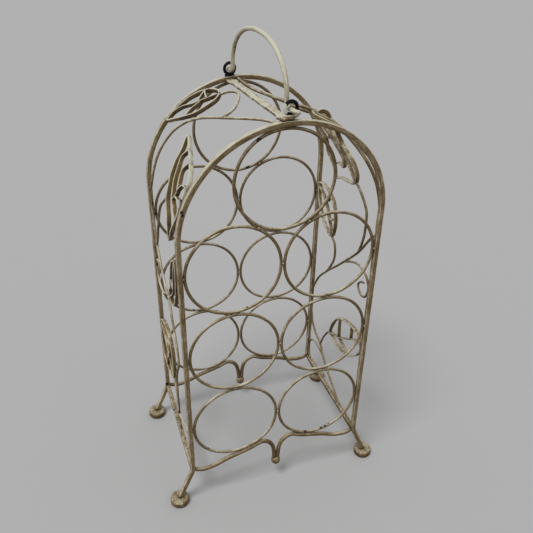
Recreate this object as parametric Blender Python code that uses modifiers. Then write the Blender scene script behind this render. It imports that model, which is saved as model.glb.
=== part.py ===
"""A wrought iron wine rack: two arched frames of square bar, each filled with seven
bottle rings, tied together by side bars, a ridge bar and a vine panel on either side.
A bail handle swings in two eyes on the crowns of the arches.

Lengths are in metres. +Z is up, the front frame faces -Y, and the origin is on the
floor under the middle of the rack.
"""

import math

import bmesh
import bpy
from mathutils import Matrix, Vector

# Clearance left between two pieces that touch
GAP = 0.0003

# Bottle rings, measured to the middle of their wire
RING_RADIUS = 0.052
FRONT_TOP_RING_RADIUS = 0.053
BACK_TOP_RING_RADIUS = 0.0542
RING_WIRE = 0.0035
RING_STEPS = 28
RING_SIDES = 6

# The two arched frames, bent by hand, so their arches lean a little to one side
BAR = 0.0055
FRAME_SPACING = 0.1622
LOWEST_ROW_HEIGHT = 0.1204
TIE_HEIGHT = 0.053
FRONT_ARCH_LEAN = 0.006
BACK_ARCH_LEAN = 0.0038
ARCH_STEPS = 32

# Feet
FOOT_SPREAD = 0.0195
FOOT_RADIUS = 0.0118
FOOT_BASE_RADIUS = 0.0108
FOOT_SEAT_RADIUS = 0.0088
FOOT_HEIGHT = 0.009
FOOT_RIM_HEIGHT = 0.0062
FOOT_DOME_STEPS = 3
FOOT_STEPS = 16

# Wavy bottom rails and the ball that hangs where each pair meets
RAIL_WIRE = 0.0054
RAIL_ROUTE_STEPS = 2
FINIAL_RADIUS = 0.006
FINIAL_HEIGHT = 0.032
FINIAL_STEPS = 16

# Ridge bar: it runs a little askew from the back arch to the front one, where its
# hammered end rises onto the crown as the front eye's seat
RIDGE_END_WIDTH = 0.0095
RIDGE_END_LENGTH = 0.012
RIDGE_THICKNESS = 0.0038
RIDGE_SEAT_THICKNESS = 0.0030
RIDGE_SHIFT_FRONT = -0.0008
RIDGE_SHIFT_BACK = -0.0088
RIDGE_RISE_FRONT = 0.0020
RIDGE_DROP_BACK = 0.0026

# Where the eyes stand beside the middle of their arches
CROWN_SHIFT_FRONT = 0.0026
CROWN_SHIFT_BACK = -0.0095

# Eyes on the crowns and the bail handle that hangs in them
EYE_RADIUS = 0.0061
EYE_WIRE = 0.0036
EYE_STEPS = 16
EYE_SIDES = 8
EYE_SEAT_ROUNDS = 8
HANDLE_ROD = 0.005
HANDLE_HALF_SPAN = 0.0712
HANDLE_RISE = 0.0555
HANDLE_BEND = 0.006
HANDLE_HOOK = 0.0055
HANDLE_HOOK_DEGREES = -12.0
HANDLE_ARCH_STEPS = 18
HANDLE_BEND_DEGREES = (0, 30, 60, 90)
HANDLE_FULLNESS = 2.2

# Vine panels: round stems and leaves of flat strip standing on edge
STEM_WIRE = 0.003
TENDRIL_WIRE = 0.0028
STRIP_WIDTH = 0.005
STRIP_THICKNESS = 0.002
VEIN_WIDTH = 0.0046
VEIN_WIDTH_STEP = 0.0003
VEIN_THICKNESS = 0.0018

# Layout worked out from the sizes above
HALF_SPACING = FRAME_SPACING / 2
RING_PITCH = 2 * RING_RADIUS + RING_WIRE + GAP
FRAME_HALF_WIDTH = RING_PITCH / 2 + RING_RADIUS + RING_WIRE / 2 + GAP + BAR / 2
UPPER_ROW_HEIGHT = LOWEST_ROW_HEIGHT + 2 * RING_PITCH
LEG_FACE = HALF_SPACING - BAR / 2
TIE_TOP = TIE_HEIGHT + BAR / 2

# Steps from one chosen point to the next along smooth routes
STEM_ROUTE_STEPS = 2
LEAF_ROUTE_STEPS = 2

# Bevel resolution of thin wires and of the bail
THIN_WIRE_SIDES = 1
BAIL_SIDES = 2

# Distance within which a turned profile's ends on the axis merge
MERGE_DISTANCE = 0.00001

# Share of a route's step within which a seated end is found
SEAT_SHARE = 0.0001

# Rail from the leg inwards: across in shares of the ring pitch, up in shares of the
# height from the side bars to the middle of the lowest rings
RAIL_OUTER_SHARES = [(-0.9, -0.05), (-0.76, -0.02), (-0.61, 0.075)]
RAIL_INNER_SHARES = [(-0.19, 0.29), (-0.11, 0.25), (-0.055, 0.135), (-0.03, -0.015)]
RAIL_CONTACT_DEGREES = (-78.0, -66.0)

# Vine routes on the right-hand panel, unrolled flat: across in shares of half the frame
# spacing, front to back, and up in ring pitches from the middle of the upper row
MAIN_STEM_SHARES = [
    (-0.84, 0.05),
    (-0.53, -0.25),
    (-0.12, -0.55),
    (0.17, -0.75),
    (0.44, -0.93),
    (0.78, -1.2),
    (0.98, -1.54),
    (0.9, -1.9),
    (0.73, -2.04),
    (0.48, -2.12),
    (0.25, -2.29),
    (0.0, -2.41),
    (-0.28, -2.53),
]
MAIN_STEM_LEG_SHARE = 0.13
MAIN_STEM_TIE_SHARE = -0.44
TENDRIL_SHARES = [
    (-0.12, -0.55),
    (-0.38, -0.44),
    (-0.6, -0.39),
    (-0.82, -0.42),
    (-0.93, -0.53),
    (-0.88, -0.67),
    (-0.74, -0.71),
    (-0.63, -0.64),
    (-0.7, -0.56),
    (-0.8, -0.53),
]
BOTTOM_HOOK_SHARES = [
    (0.94, -2.5),
    (0.93, -2.34),
    (0.8, -2.23),
    (0.57, -2.2),
    (0.36, -2.23),
    (0.25, -2.29),
]
BOTTOM_HOOK_TIE_SHARE = 0.85
POINTED_LEAF_STEM_SHARES = [
    (0.44, -0.93),
    (0.27, -0.74),
    (0.21, -0.6),
    (0.25, -0.47),
    (0.37, -0.4),
]
POINTED_LEAF_SHARES = [
    (0.37, -0.4),
    (0.29, -0.27),
    (0.29, -0.13),
    (0.38, 0.02),
    (0.53, 0.1),
    (0.76, 0.14),
    (0.99, 0.1),
    (0.93, -0.07),
    (0.8, -0.25),
    (0.59, -0.37),
]
POINTED_LEAF_VEIN_SHARES = [
    [(0.37, -0.4), (0.52, -0.2), (0.72, -0.02), (0.99, 0.1)],
    [(0.29, -0.13), (0.4, -0.2), (0.52, -0.2)],
    [(0.53, 0.1), (0.6, -0.02), (0.72, -0.02)],
]
SHOULDER_LEAF_STEM_SHARES = [
    (-0.53, -0.25),
    (-0.61, -0.09),
    (-0.65, 0.06),
    (-0.63, 0.28),
    (-0.44, 0.42),
    (-0.25, 0.49),
]
SHOULDER_LEAF_SHARES = [
    (-0.24, 0.48),
    (-0.27, 0.61),
    (-0.16, 0.73),
    (-0.02, 0.81),
    (0.07, 0.9),
    (0.05, 1.03),
    (-0.09, 1.21),
    (0.2, 1.15),
    (0.5, 1.07),
    (0.74, 0.98),
    (0.9, 0.86),
    (0.74, 0.74),
    (0.7, 0.58),
    (0.5, 0.48),
    (0.38, 0.36),
    (0.2, 0.41),
    (0.0, 0.43),
]
SHOULDER_LEAF_VEIN_SHARES = [
    [(-0.24, 0.48), (-0.05, 0.62), (0.12, 0.78), (0.33, 0.95), (0.5, 1.07)],
    [(0.12, 0.78), (0.06, 0.98), (-0.09, 1.21)],
    [(0.5, 0.48), (0.3, 0.56), (0.14, 0.55), (0.16, 0.66), (0.45, 0.82), (0.74, 0.98)],
    [(0.45, 0.82), (0.62, 0.79), (0.74, 0.74)],
]
ROUND_LEAF_STEM_SHARES = [
    (0.48, -2.12),
    (0.42, -2.02),
    (0.36, -1.93),
    (0.23, -1.79),
    (0.12, -1.72),
]
ROUND_LEAF_SHARES = [
    (0.12, -1.72),
    (0.08, -1.6),
    (-0.02, -1.46),
    (-0.18, -1.34),
    (-0.42, -1.26),
    (-0.72, -1.23),
    (-0.93, -1.32),
    (-0.9, -1.47),
    (-0.67, -1.64),
    (-0.42, -1.73),
    (-0.14, -1.76),
]
ROUND_LEAF_VEIN_SHARES = [
    [(0.12, -1.72), (-0.2, -1.62), (-0.48, -1.49), (-0.73, -1.36), (-0.93, -1.32)],
    [(-0.18, -1.34), (-0.18, -1.48), (-0.2, -1.62)],
    [(-0.2, -1.62), (-0.34, -1.65), (-0.52, -1.7)],
    [(-0.6, -1.24), (-0.6, -1.33), (-0.6, -1.43)],
]
ROOF_STEM_SHARES = [
    (0.75, 2.065),
    (0.51, 2.05),
    (0.33, 2.02),
    (0.14, 1.965),
    (-0.06, 1.9),
    (-0.22, 1.82),
    (-0.31, 1.68),
    (-0.33, 1.5),
    (-0.38, 1.33),
    (-0.47, 1.17),
    (-0.6, 1.02),
    (-0.73, 0.88),
    (-0.86, 0.7),
]
ROOF_STEM_CROWN_SHARE = 2.07
LEFT_ROOF_STEM_SHARES = [
    (0.84, 1.83),
    (0.7, 1.77),
    (0.53, 1.68),
    (0.26, 1.55),
    (-0.02, 1.44),
    (-0.26, 1.33),
    (-0.42, 1.22),
    (-0.55, 1.07),
    (-0.63, 0.86),
    (-0.67, 0.66),
    (-0.71, 0.5),
    (-0.82, 0.37),
]
LEFT_ROOF_STEM_CROWN_SHARE = 1.865
LEFT_ROOF_STEM_LEG_SHARE = 0.3
ROOF_STEM_LEG_SHARE = 0.42
ROOF_LEAF_STEM_SHARES = [
    (-0.22, 1.82),
    (-0.3, 1.88),
    (-0.42, 1.87),
    (-0.51, 1.8),
    (-0.54, 1.7),
]
ROOF_LEAF_SHARES = [
    (-0.54, 1.68),
    (-0.47, 1.58),
    (-0.47, 1.46),
    (-0.54, 1.34),
    (-0.64, 1.24),
    (-0.79, 1.15),
    (-0.97, 1.08),
    (-0.96, 1.25),
    (-0.94, 1.42),
    (-0.87, 1.6),
    (-0.71, 1.69),
]
ROOF_LEAF_VEIN_SHARES = [
    [(-0.54, 1.68), (-0.66, 1.5), (-0.8, 1.29), (-0.97, 1.08)],
    [(-0.48, 1.42), (-0.58, 1.48), (-0.66, 1.5)],
]
LEFT_ROOF_LEAF_STEM_SHARES = [
    (0.21, 1.53),
    (0.13, 1.66),
    (-0.05, 1.75),
    (-0.24, 1.81),
    (-0.39, 1.82),
    (-0.49, 1.76),
    (-0.5, 1.67),
]
LEFT_ROOF_LEAF_SHARES = [
    (-0.5, 1.67),
    (-0.38, 1.6),
    (-0.34, 1.5),
    (-0.37, 1.38),
    (-0.52, 1.27),
    (-0.75, 1.17),
    (-0.97, 1.1),
    (-0.96, 1.27),
    (-0.93, 1.42),
    (-0.84, 1.59),
    (-0.67, 1.68),
]
LEFT_ROOF_LEAF_VEIN_SHARES = [
    [(-0.5, 1.67), (-0.6, 1.5), (-0.76, 1.31), (-0.97, 1.1)],
    [(-0.35, 1.45), (-0.48, 1.5), (-0.6, 1.5)],
]

# The left-hand panel, turned half round: across runs from the back to the front
LEFT_MAIN_STEM_SHARES = [
    (-0.93, -0.05),
    (-0.76, -0.33),
    (-0.54, -0.52),
    (-0.31, -0.65),
    (-0.09, -0.71),
    (0.03, -0.8),
    (0.13, -0.93),
    (0.26, -1.07),
    (0.38, -1.24),
    (0.39, -1.42),
    (0.24, -1.6),
    (0.12, -1.79),
    (0.09, -2.0),
    (0.1, -2.24),
]
LEFT_MAIN_STEM_LEG_SHARE = 0.2
LEFT_MAIN_STEM_TIE_SHARE = 0.11
LEFT_TENDRIL_SHARES = [
    (-0.15, -0.71),
    (-0.36, -0.81),
    (-0.55, -0.88),
    (-0.74, -0.89),
    (-0.89, -0.84),
    (-0.94, -0.72),
    (-0.9, -0.6),
    (-0.78, -0.56),
    (-0.7, -0.63),
    (-0.75, -0.72),
]
LEFT_BOTTOM_HOOK_SHARES = [
    (0.95, -2.4),
    (0.93, -2.2),
    (0.8, -2.12),
    (0.62, -2.19),
    (0.46, -2.25),
    (0.3, -2.31),
    (0.12, -2.36),
]
LEFT_BOTTOM_HOOK_TIE_SHARE = 0.9
LEFT_POINTED_LEAF_STEM_SHARES = [
    (-0.1, -0.72),
    (0.0, -0.69),
    (0.1, -0.65),
    (0.22, -0.56),
]
LEFT_POINTED_LEAF_SHARES = [
    (0.22, -0.56),
    (0.21, -0.48),
    (0.33, -0.39),
    (0.37, -0.27),
    (0.43, -0.15),
    (0.51, -0.04),
    (0.61, 0.04),
    (0.75, 0.1),
    (0.81, 0.01),
    (0.79, -0.1),
    (0.76, -0.22),
    (0.7, -0.33),
    (0.62, -0.44),
    (0.49, -0.55),
    (0.34, -0.6),
    (0.26, -0.6),
]
LEFT_POINTED_LEAF_VEIN_SHARES = [
    [(0.22, -0.56), (0.43, -0.44), (0.55, -0.3), (0.61, -0.16), (0.65, -0.02), (0.75, 0.1)],
    [(0.37, -0.27), (0.46, -0.32), (0.53, -0.33)],
]
LEFT_SHOULDER_LEAF_STEM_SHARES = [
    (-0.76, -0.33),
    (-0.65, -0.22),
    (-0.55, -0.09),
    (-0.44, 0.05),
    (-0.32, 0.2),
    (-0.16, 0.34),
    (0.04, 0.47),
    (0.3, 0.62),
]
LEFT_SHOULDER_LEAF_SHARES = [
    (0.3, 0.62),
    (0.24, 0.74),
    (0.18, 0.85),
    (0.14, 0.95),
    (0.1, 1.06),
    (-0.02, 1.18),
    (0.22, 1.13),
    (0.5, 1.06),
    (0.7, 1.0),
    (0.83, 0.93),
    (0.88, 0.82),
    (0.88, 0.7),
    (0.87, 0.59),
    (0.77, 0.48),
    (0.64, 0.36),
    (0.49, 0.23),
    (0.48, 0.36),
    (0.46, 0.47),
    (0.38, 0.54),
]
LEFT_SHOULDER_LEAF_VEIN_SHARES = [
    [
        (0.85, 0.56),
        (0.66, 0.63),
        (0.5, 0.7),
        (0.4, 0.79),
        (0.31, 0.91),
        (0.23, 1.02),
        (0.31, 1.11),
    ],
    [(0.55, 0.67), (0.62, 0.77), (0.53, 0.87), (0.47, 0.95), (0.55, 1.05)],
    [(0.61, 0.78), (0.7, 0.86), (0.86, 0.88)],
    [(0.58, 0.72), (0.72, 0.73), (0.88, 0.74)],
]
LEFT_ROUND_LEAF_STEM_SHARES = [
    (0.08, -2.16),
    (0.0, -2.08),
    (-0.05, -1.99),
    (-0.07, -1.89),
]
LEFT_ROUND_LEAF_SHARES = [
    (-0.07, -1.89),
    (-0.03, -1.75),
    (-0.03, -1.6),
    (-0.07, -1.48),
    (-0.17, -1.39),
    (-0.34, -1.33),
    (-0.56, -1.35),
    (-0.78, -1.41),
    (-0.93, -1.5),
    (-0.94, -1.68),
    (-0.93, -1.86),
    (-0.84, -2.0),
    (-0.66, -2.04),
    (-0.47, -2.02),
    (-0.25, -1.97),
]
LEFT_ROUND_LEAF_VEIN_SHARES = [
    [(-0.07, -1.89), (-0.26, -1.8), (-0.46, -1.69), (-0.7, -1.6), (-0.93, -1.5)],
    [(-0.17, -1.39), (-0.26, -1.55), (-0.35, -1.74)],
    [(-0.35, -1.74), (-0.52, -1.85), (-0.66, -2.04)],
]

# Each panel's routes: its stems with the places where they leave the frame, its leaves
# with their stems and veins, and its two hooks
VINE_SHARES = {
    "right": (
        (MAIN_STEM_LEG_SHARE, MAIN_STEM_SHARES, MAIN_STEM_TIE_SHARE),
        (ROOF_STEM_CROWN_SHARE, ROOF_STEM_SHARES, ROOF_STEM_LEG_SHARE),
        (POINTED_LEAF_STEM_SHARES, POINTED_LEAF_SHARES, POINTED_LEAF_VEIN_SHARES),
        (SHOULDER_LEAF_STEM_SHARES, SHOULDER_LEAF_SHARES, SHOULDER_LEAF_VEIN_SHARES),
        (ROUND_LEAF_STEM_SHARES, ROUND_LEAF_SHARES, ROUND_LEAF_VEIN_SHARES),
        (ROOF_LEAF_STEM_SHARES, ROOF_LEAF_SHARES, ROOF_LEAF_VEIN_SHARES),
        TENDRIL_SHARES,
        (BOTTOM_HOOK_TIE_SHARE, BOTTOM_HOOK_SHARES),
    ),
    "left": (
        (LEFT_MAIN_STEM_LEG_SHARE, LEFT_MAIN_STEM_SHARES, LEFT_MAIN_STEM_TIE_SHARE),
        (LEFT_ROOF_STEM_CROWN_SHARE, LEFT_ROOF_STEM_SHARES, LEFT_ROOF_STEM_LEG_SHARE),
        (
            LEFT_POINTED_LEAF_STEM_SHARES,
            LEFT_POINTED_LEAF_SHARES,
            LEFT_POINTED_LEAF_VEIN_SHARES,
        ),
        (
            LEFT_SHOULDER_LEAF_STEM_SHARES,
            LEFT_SHOULDER_LEAF_SHARES,
            LEFT_SHOULDER_LEAF_VEIN_SHARES,
        ),
        (
            LEFT_ROUND_LEAF_STEM_SHARES,
            LEFT_ROUND_LEAF_SHARES,
            LEFT_ROUND_LEAF_VEIN_SHARES,
        ),
        (
            LEFT_ROOF_LEAF_STEM_SHARES,
            LEFT_ROOF_LEAF_SHARES,
            LEFT_ROOF_LEAF_VEIN_SHARES,
        ),
        LEFT_TENDRIL_SHARES,
        (LEFT_BOTTOM_HOOK_TIE_SHARE, LEFT_BOTTOM_HOOK_SHARES),
    ),
}

# Paint colours, roughness and metallic value
FRAME_PAINT = ((0.30, 0.26, 0.18, 1.0), 0.55, 0.1)
RING_PAINT = ((0.33, 0.29, 0.21, 1.0), 0.55, 0.1)
RAIL_PAINT = ((0.31, 0.27, 0.19, 1.0), 0.55, 0.1)
TIE_PAINT = ((0.45, 0.42, 0.32, 1.0), 0.6, 0.1)
VINE_PAINT = ((0.38, 0.34, 0.25, 1.0), 0.55, 0.1)
LEAF_PAINT = ((0.42, 0.39, 0.29, 1.0), 0.6, 0.1)
FOOT_PAINT = ((0.55, 0.50, 0.38, 1.0), 0.6, 0.1)
HANDLE_PAINT = ((0.62, 0.61, 0.48, 1.0), 0.5, 0.0)
EYE_FINISH = ((0.015, 0.016, 0.02, 1.0), 0.35, 0.2)


def clear_scene():
    for obj in list(bpy.data.objects):
        bpy.data.objects.remove(obj, do_unlink=True)


def new_collection(name, hidden=False):
    collection = bpy.data.collections.new(name)
    collection.hide_render = hidden
    bpy.context.scene.collection.children.link(collection)
    return collection


def paint_material(name, finish):
    """The material of one sub-part: a Principled surface of this colour and gloss."""
    colour, roughness, metallic = finish
    material = bpy.data.materials.new(name + "_paint")
    material.use_nodes = True
    surface = material.node_tree.nodes["Principled BSDF"]
    surface.inputs["Base Color"].default_value = colour
    surface.inputs["Roughness"].default_value = roughness
    surface.inputs["Metallic"].default_value = metallic
    material.diffuse_color = colour
    return material


def place(obj, collection, parent=None, location=(0, 0, 0), rotation=(0, 0, 0)):
    """Links the object, and sets where it stands under its parent."""
    for owner in list(obj.users_collection):
        owner.objects.unlink(obj)
    collection.objects.link(obj)
    obj.parent = parent
    obj.location = location
    obj.rotation_euler = rotation
    return obj


def add_copy(source, name, collection, parent=None, location=(0, 0, 0), rotation=(0, 0, 0)):
    """Another object on the same shape."""
    twin = source.copy()
    twin.name = name
    return place(twin, collection, parent, location, rotation)


def smooth_route(points, steps, closed=False):
    """A smooth line through the points, with this many steps from one to the next."""
    count = len(points)
    spans = count if closed else count - 1
    route = []
    for span in range(spans):
        if closed:
            before, start, end, after = (points[(span + k) % count] for k in (-1, 0, 1, 2))
        else:
            before = points[max(span - 1, 0)]
            start = points[span]
            end = points[span + 1]
            after = points[min(span + 2, count - 1)]
        for step in range(steps):
            t = step / steps
            route.append(
                0.5
                * (
                    2 * start
                    + (end - before) * t
                    + (2 * before - 5 * start + 4 * end - after) * t**2
                    + (3 * start - before - 3 * end + after) * t**3
                )
            )
    if not closed:
        route.append(points[-1].copy())
    return route


def nearest_on(route, point):
    """The point of the route that lies nearest to this one, and the route's direction there."""
    best = None
    for start, end in zip(route, route[1:]):
        along = end - start
        t = max(0, min(1, (point - start).dot(along) / along.length_squared))
        near = start + along * t
        if best is None or (point - near).length < (point - best[0]).length:
            best = (near, along.normalized())
    return best


def seat_start(route, radius, clear_of):
    """Cuts the route's start back until its flat end just meets what carries it."""

    def spare(index, t):
        step = route[index] - route[index - 1]
        spot = route[index - 1] + step * t
        return clear_of(spot, step.normalized(), radius)

    half = range(1, max(2, len(route) // 2))
    index = max((k for k in half if spare(k, 0) <= 0), default=1)
    inside, outside = 0.0, 1.0
    while outside - inside > SEAT_SHARE:
        middle = (inside + outside) / 2
        if spare(index, middle) > 0:
            outside = middle
        else:
            inside = middle
    seat = route[index - 1].lerp(route[index], outside)
    rest = route[index:]
    if (rest[0] - seat).length < radius / 2 and len(rest) > 1:
        rest = rest[1:]
    return [seat] + rest


def seat_end(route, radius, clear_of):
    return seat_start(route[::-1], radius, clear_of)[::-1]


def beside_wire(other, other_radius):
    """How far an end stands clear of another wire's side."""

    def spare(spot, direction, radius):
        near, along = nearest_on(other, spot)
        return (spot - near).length - other_radius - GAP - radius * abs(direction.dot(along))

    return spare


def beside_leg(end):
    """How far an end stands clear of the front (-1) or back (1) frame's inner face."""

    def spare(spot, direction, radius):
        return LEG_FACE - end * spot.x - GAP - radius * abs(direction.y)

    return spare


def above_tie(spot, direction, radius):
    """How far an end stands clear of the side bar's top."""
    return spot.y - TIE_TOP - GAP - radius * abs(direction.x)


def lean_on(route, other, distance):
    """Moves each point that is nearer to the other route than this distance out to it."""
    leaned = []
    for point in route:
        near, _ = nearest_on(other, point)
        away = point - near
        if away.length < distance:
            point = near + away.normalized() * distance
        leaned.append(point)
    return leaned


def keep_between_legs(route, half_thickness):
    """Holds the route's across values clear of the legs' inner faces."""
    limit = LEG_FACE - GAP - half_thickness
    return [Vector((max(-limit, min(limit, point.x)), point.y)) for point in route]


def wire_object(name, points, wire, material, sides):
    """A round wire along the points, with closed ends."""
    curve = bpy.data.curves.new(name, "CURVE")
    curve.dimensions = "3D"
    curve.bevel_depth = wire / 2
    curve.bevel_resolution = sides
    curve.use_fill_caps = True
    spline = curve.splines.new("POLY")
    spline.points.add(len(points) - 1)
    for target, point in zip(spline.points, points):
        target.co = (*point, 1)
    spline.use_smooth = True
    curve.materials.append(material)
    return bpy.data.objects.new(name, curve)


def flat_object(name, outline, thickness, material):
    """A flat piece of this outline in the object's XY plane, extruded to its thickness."""
    curve = bpy.data.curves.new(name, "CURVE")
    curve.dimensions = "2D"
    curve.fill_mode = "BOTH"
    curve.extrude = thickness / 2
    spline = curve.splines.new("POLY")
    spline.points.add(len(outline) - 1)
    for target, point in zip(spline.points, outline):
        target.co = (point[0], point[1], 0, 1)
    spline.use_cyclic_u = True
    curve.materials.append(material)
    return bpy.data.objects.new(name, curve)


def turned_object(name, profile, steps, material):
    """A turned piece: the profile, from top to bottom at +X, screwed round Z."""
    mesh = bpy.data.meshes.new(name)
    edges = [(index, index + 1) for index in range(len(profile) - 1)]
    mesh.from_pydata([(radius, 0, height) for radius, height in profile], edges, [])
    mesh.materials.append(material)
    obj = bpy.data.objects.new(name, mesh)
    turn = obj.modifiers.new("turn", "SCREW")
    turn.steps = steps
    turn.render_steps = steps
    turn.use_merge_vertices = True
    turn.merge_threshold = MERGE_DISTANCE
    turn.use_smooth_shade = True
    return obj


def shade_smooth(obj):
    for face in obj.data.polygons:
        face.use_smooth = True


def ring_object(name, radius, wire, steps, sides, material):
    """A round ring whose axis is the object's Z."""
    bpy.ops.mesh.primitive_torus_add(
        major_segments=steps,
        minor_segments=sides,
        major_radius=radius,
        minor_radius=wire / 2,
    )
    obj = bpy.context.object
    obj.name = name
    obj.data.name = name
    obj.data.materials.append(material)
    shade_smooth(obj)
    return obj


def offset_line(points, distance):
    """The line beside an open line, at this distance to its left, with mitred corners."""
    normals = []
    for start, end in zip(points, points[1:]):
        along = (end - start).normalized()
        normals.append(Vector((-along.y, along.x)))
    beside = []
    for index, point in enumerate(points):
        first = normals[max(index - 1, 0)]
        second = normals[min(index, len(normals) - 1)]
        middle = (first + second).normalized()
        beside.append(point + middle * (distance / middle.dot(first)))
    return beside


def cut_level(line, height):
    """Runs the first span of the line on or back to this height."""
    first, second = line[0], line[1]
    t = (height - second.y) / (first.y - second.y)
    return [second + (first - second) * t] + line[1:]


def top_ring(end):
    """Radius and height of the front (-1) or back (1) frame's top ring."""
    radius = BACK_TOP_RING_RADIUS if end > 0 else FRONT_TOP_RING_RADIUS
    reach = RING_RADIUS + radius + RING_WIRE + GAP
    return radius, UPPER_ROW_HEIGHT + math.sqrt(reach**2 - (RING_PITCH / 2) ** 2)


def crown_height(depth):
    """Height of the arch bars' middle line at the crown, at this depth of the rack."""
    heights = []
    for end in (-1, 1):
        radius, height = top_ring(end)
        heights.append(height + radius + RING_WIRE / 2 + GAP + BAR / 2)
    back_share = (depth + HALF_SPACING) / FRAME_SPACING
    return heights[0] + (heights[1] - heights[0]) * back_share


def arch_point(turn, depth, out=0):
    """A place on the arched surface at this angle from the right-hand spring."""
    back_share = (depth + HALF_SPACING) / FRAME_SPACING
    lean = FRONT_ARCH_LEAN + (BACK_ARCH_LEAN - FRONT_ARCH_LEAN) * back_share
    spring = crown_height(depth) - FRAME_HALF_WIDTH
    reach = FRAME_HALF_WIDTH + out
    across = reach * math.cos(turn) + lean * math.sin(turn)
    return Vector((across, depth, spring + reach * math.sin(turn)))


def arch_outline(depth):
    """The whole bent bar of a frame: leg, kink, arch, kink and leg."""
    leg_end = FOOT_HEIGHT + GAP
    middle = [
        Vector((FRAME_HALF_WIDTH + FOOT_SPREAD, leg_end)),
        Vector((FRAME_HALF_WIDTH, TIE_HEIGHT)),
    ]
    for step in range(ARCH_STEPS + 1):
        point = arch_point(math.pi * step / ARCH_STEPS, depth)
        middle.append(Vector((point.x, point.z)))
    middle.append(Vector((-FRAME_HALF_WIDTH, TIE_HEIGHT)))
    middle.append(Vector((-FRAME_HALF_WIDTH - FOOT_SPREAD, leg_end)))
    sides = []
    for distance in (BAR / 2, -BAR / 2):
        side = cut_level(offset_line(middle, distance), leg_end)
        sides.append(cut_level(side[::-1], leg_end)[::-1])
    return sides[0] + sides[1][::-1]


def add_arch_bars(collection):
    material = paint_material("arch_bar", FRAME_PAINT)
    for name, depth in (("front_arch_bar", -HALF_SPACING), ("back_arch_bar", HALF_SPACING)):
        bar = flat_object(name, arch_outline(depth), BAR, material)
        place(bar, collection, None, (0, depth, 0), (math.pi / 2, 0, 0))


def foot_profile():
    """Half of the button foot's section: flat seat, dome, rim, tapered side, flat base."""
    profile = [(0, FOOT_HEIGHT)]
    for step in range(FOOT_DOME_STEPS + 1):
        turn = math.pi / 2 * step / FOOT_DOME_STEPS
        radius = FOOT_SEAT_RADIUS + (FOOT_RADIUS - FOOT_SEAT_RADIUS) * math.sin(turn)
        height = FOOT_RIM_HEIGHT + (FOOT_HEIGHT - FOOT_RIM_HEIGHT) * math.cos(turn)
        profile.append((radius, height))
    profile.append((FOOT_BASE_RADIUS, 0))
    profile.append((0, 0))
    return profile


def add_feet(collection):
    material = paint_material("foot", FOOT_PAINT)
    first = None
    for side, across in (("left", -1), ("right", 1)):
        for end, depth in (("front", -1), ("back", 1)):
            name = f"{end}_{side}_foot"
            x = across * (FRAME_HALF_WIDTH + FOOT_SPREAD)
            spot = (x, depth * HALF_SPACING, 0)
            if first is None:
                first = turned_object(name, foot_profile(), FOOT_STEPS, material)
                place(first, collection, None, spot)
            else:
                add_copy(first, name, collection, None, spot)


def ring_places():
    """Name, across and height of each ring of a frame."""
    places = []
    for row, row_name in enumerate(("lower", "middle", "upper")):
        height = LOWEST_ROW_HEIGHT + row * RING_PITCH
        for side, across in (("left", -1), ("right", 1)):
            places.append((f"{row_name}_{side}", across * RING_PITCH / 2, height))
    return places


def add_rings(collection):
    material = paint_material("ring", RING_PAINT)
    upright = (math.pi / 2, 0, 0)
    first = None
    for end, end_name in ((-1, "front"), (1, "back")):
        y = end * HALF_SPACING
        for place_name, x, height in ring_places():
            name = f"{end_name}_{place_name}_ring"
            if first is None:
                first = ring_object(name, RING_RADIUS, RING_WIRE, RING_STEPS, RING_SIDES, material)
                place(first, collection, None, (x, y, height), upright)
            else:
                add_copy(first, name, collection, None, (x, y, height), upright)
        radius, height = top_ring(end)
        name = f"{end_name}_top_ring"
        large = ring_object(name, radius, RING_WIRE, RING_STEPS, RING_SIDES, material)
        place(large, collection, None, (0, y, height), upright)


def rail_route():
    """The left half of a bottom rail, from its leg to the ball, lying under its ring."""
    rise = LOWEST_ROW_HEIGHT - TIE_HEIGHT
    centre = Vector((-RING_PITCH / 2, 0, LOWEST_ROW_HEIGHT))
    contact = RING_RADIUS + RING_WIRE / 2 + RAIL_WIRE / 2 + GAP

    def at(shares):
        return Vector((shares[0] * RING_PITCH, 0, TIE_HEIGHT + shares[1] * rise))

    points = [Vector((BAR / 2 + GAP - FRAME_HALF_WIDTH, 0, TIE_HEIGHT))]
    points += [at(shares) for shares in RAIL_OUTER_SHARES]
    for degrees in RAIL_CONTACT_DEGREES:
        turn = math.radians(degrees)
        points.append(centre + contact * Vector((math.cos(turn), 0, math.sin(turn))))
    points += [at(shares) for shares in RAIL_INNER_SHARES]
    beside_middle = -(RAIL_WIRE + GAP) / 2
    points.append(Vector((beside_middle, 0, FINIAL_HEIGHT + FINIAL_RADIUS + GAP)))
    route = []
    for point in smooth_route(points, RAIL_ROUTE_STEPS):
        away = point - centre
        if away.length < contact:
            point = centre + away.normalized() * contact
        point.x = min(point.x, beside_middle)
        route.append(point)
    return route


def add_rails(collection):
    material = paint_material("rail", RAIL_PAINT)
    first = wire_object("front_left_rail", rail_route(), RAIL_WIRE, material, THIN_WIRE_SIDES)
    place(first, collection, None, (0, -HALF_SPACING, 0))
    half_turn = (0, 0, math.pi)
    add_copy(first, "front_right_rail", collection, None, (0, -HALF_SPACING, 0), half_turn)
    add_copy(first, "back_left_rail", collection, None, (0, HALF_SPACING, 0))
    add_copy(first, "back_right_rail", collection, None, (0, HALF_SPACING, 0), half_turn)


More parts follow.
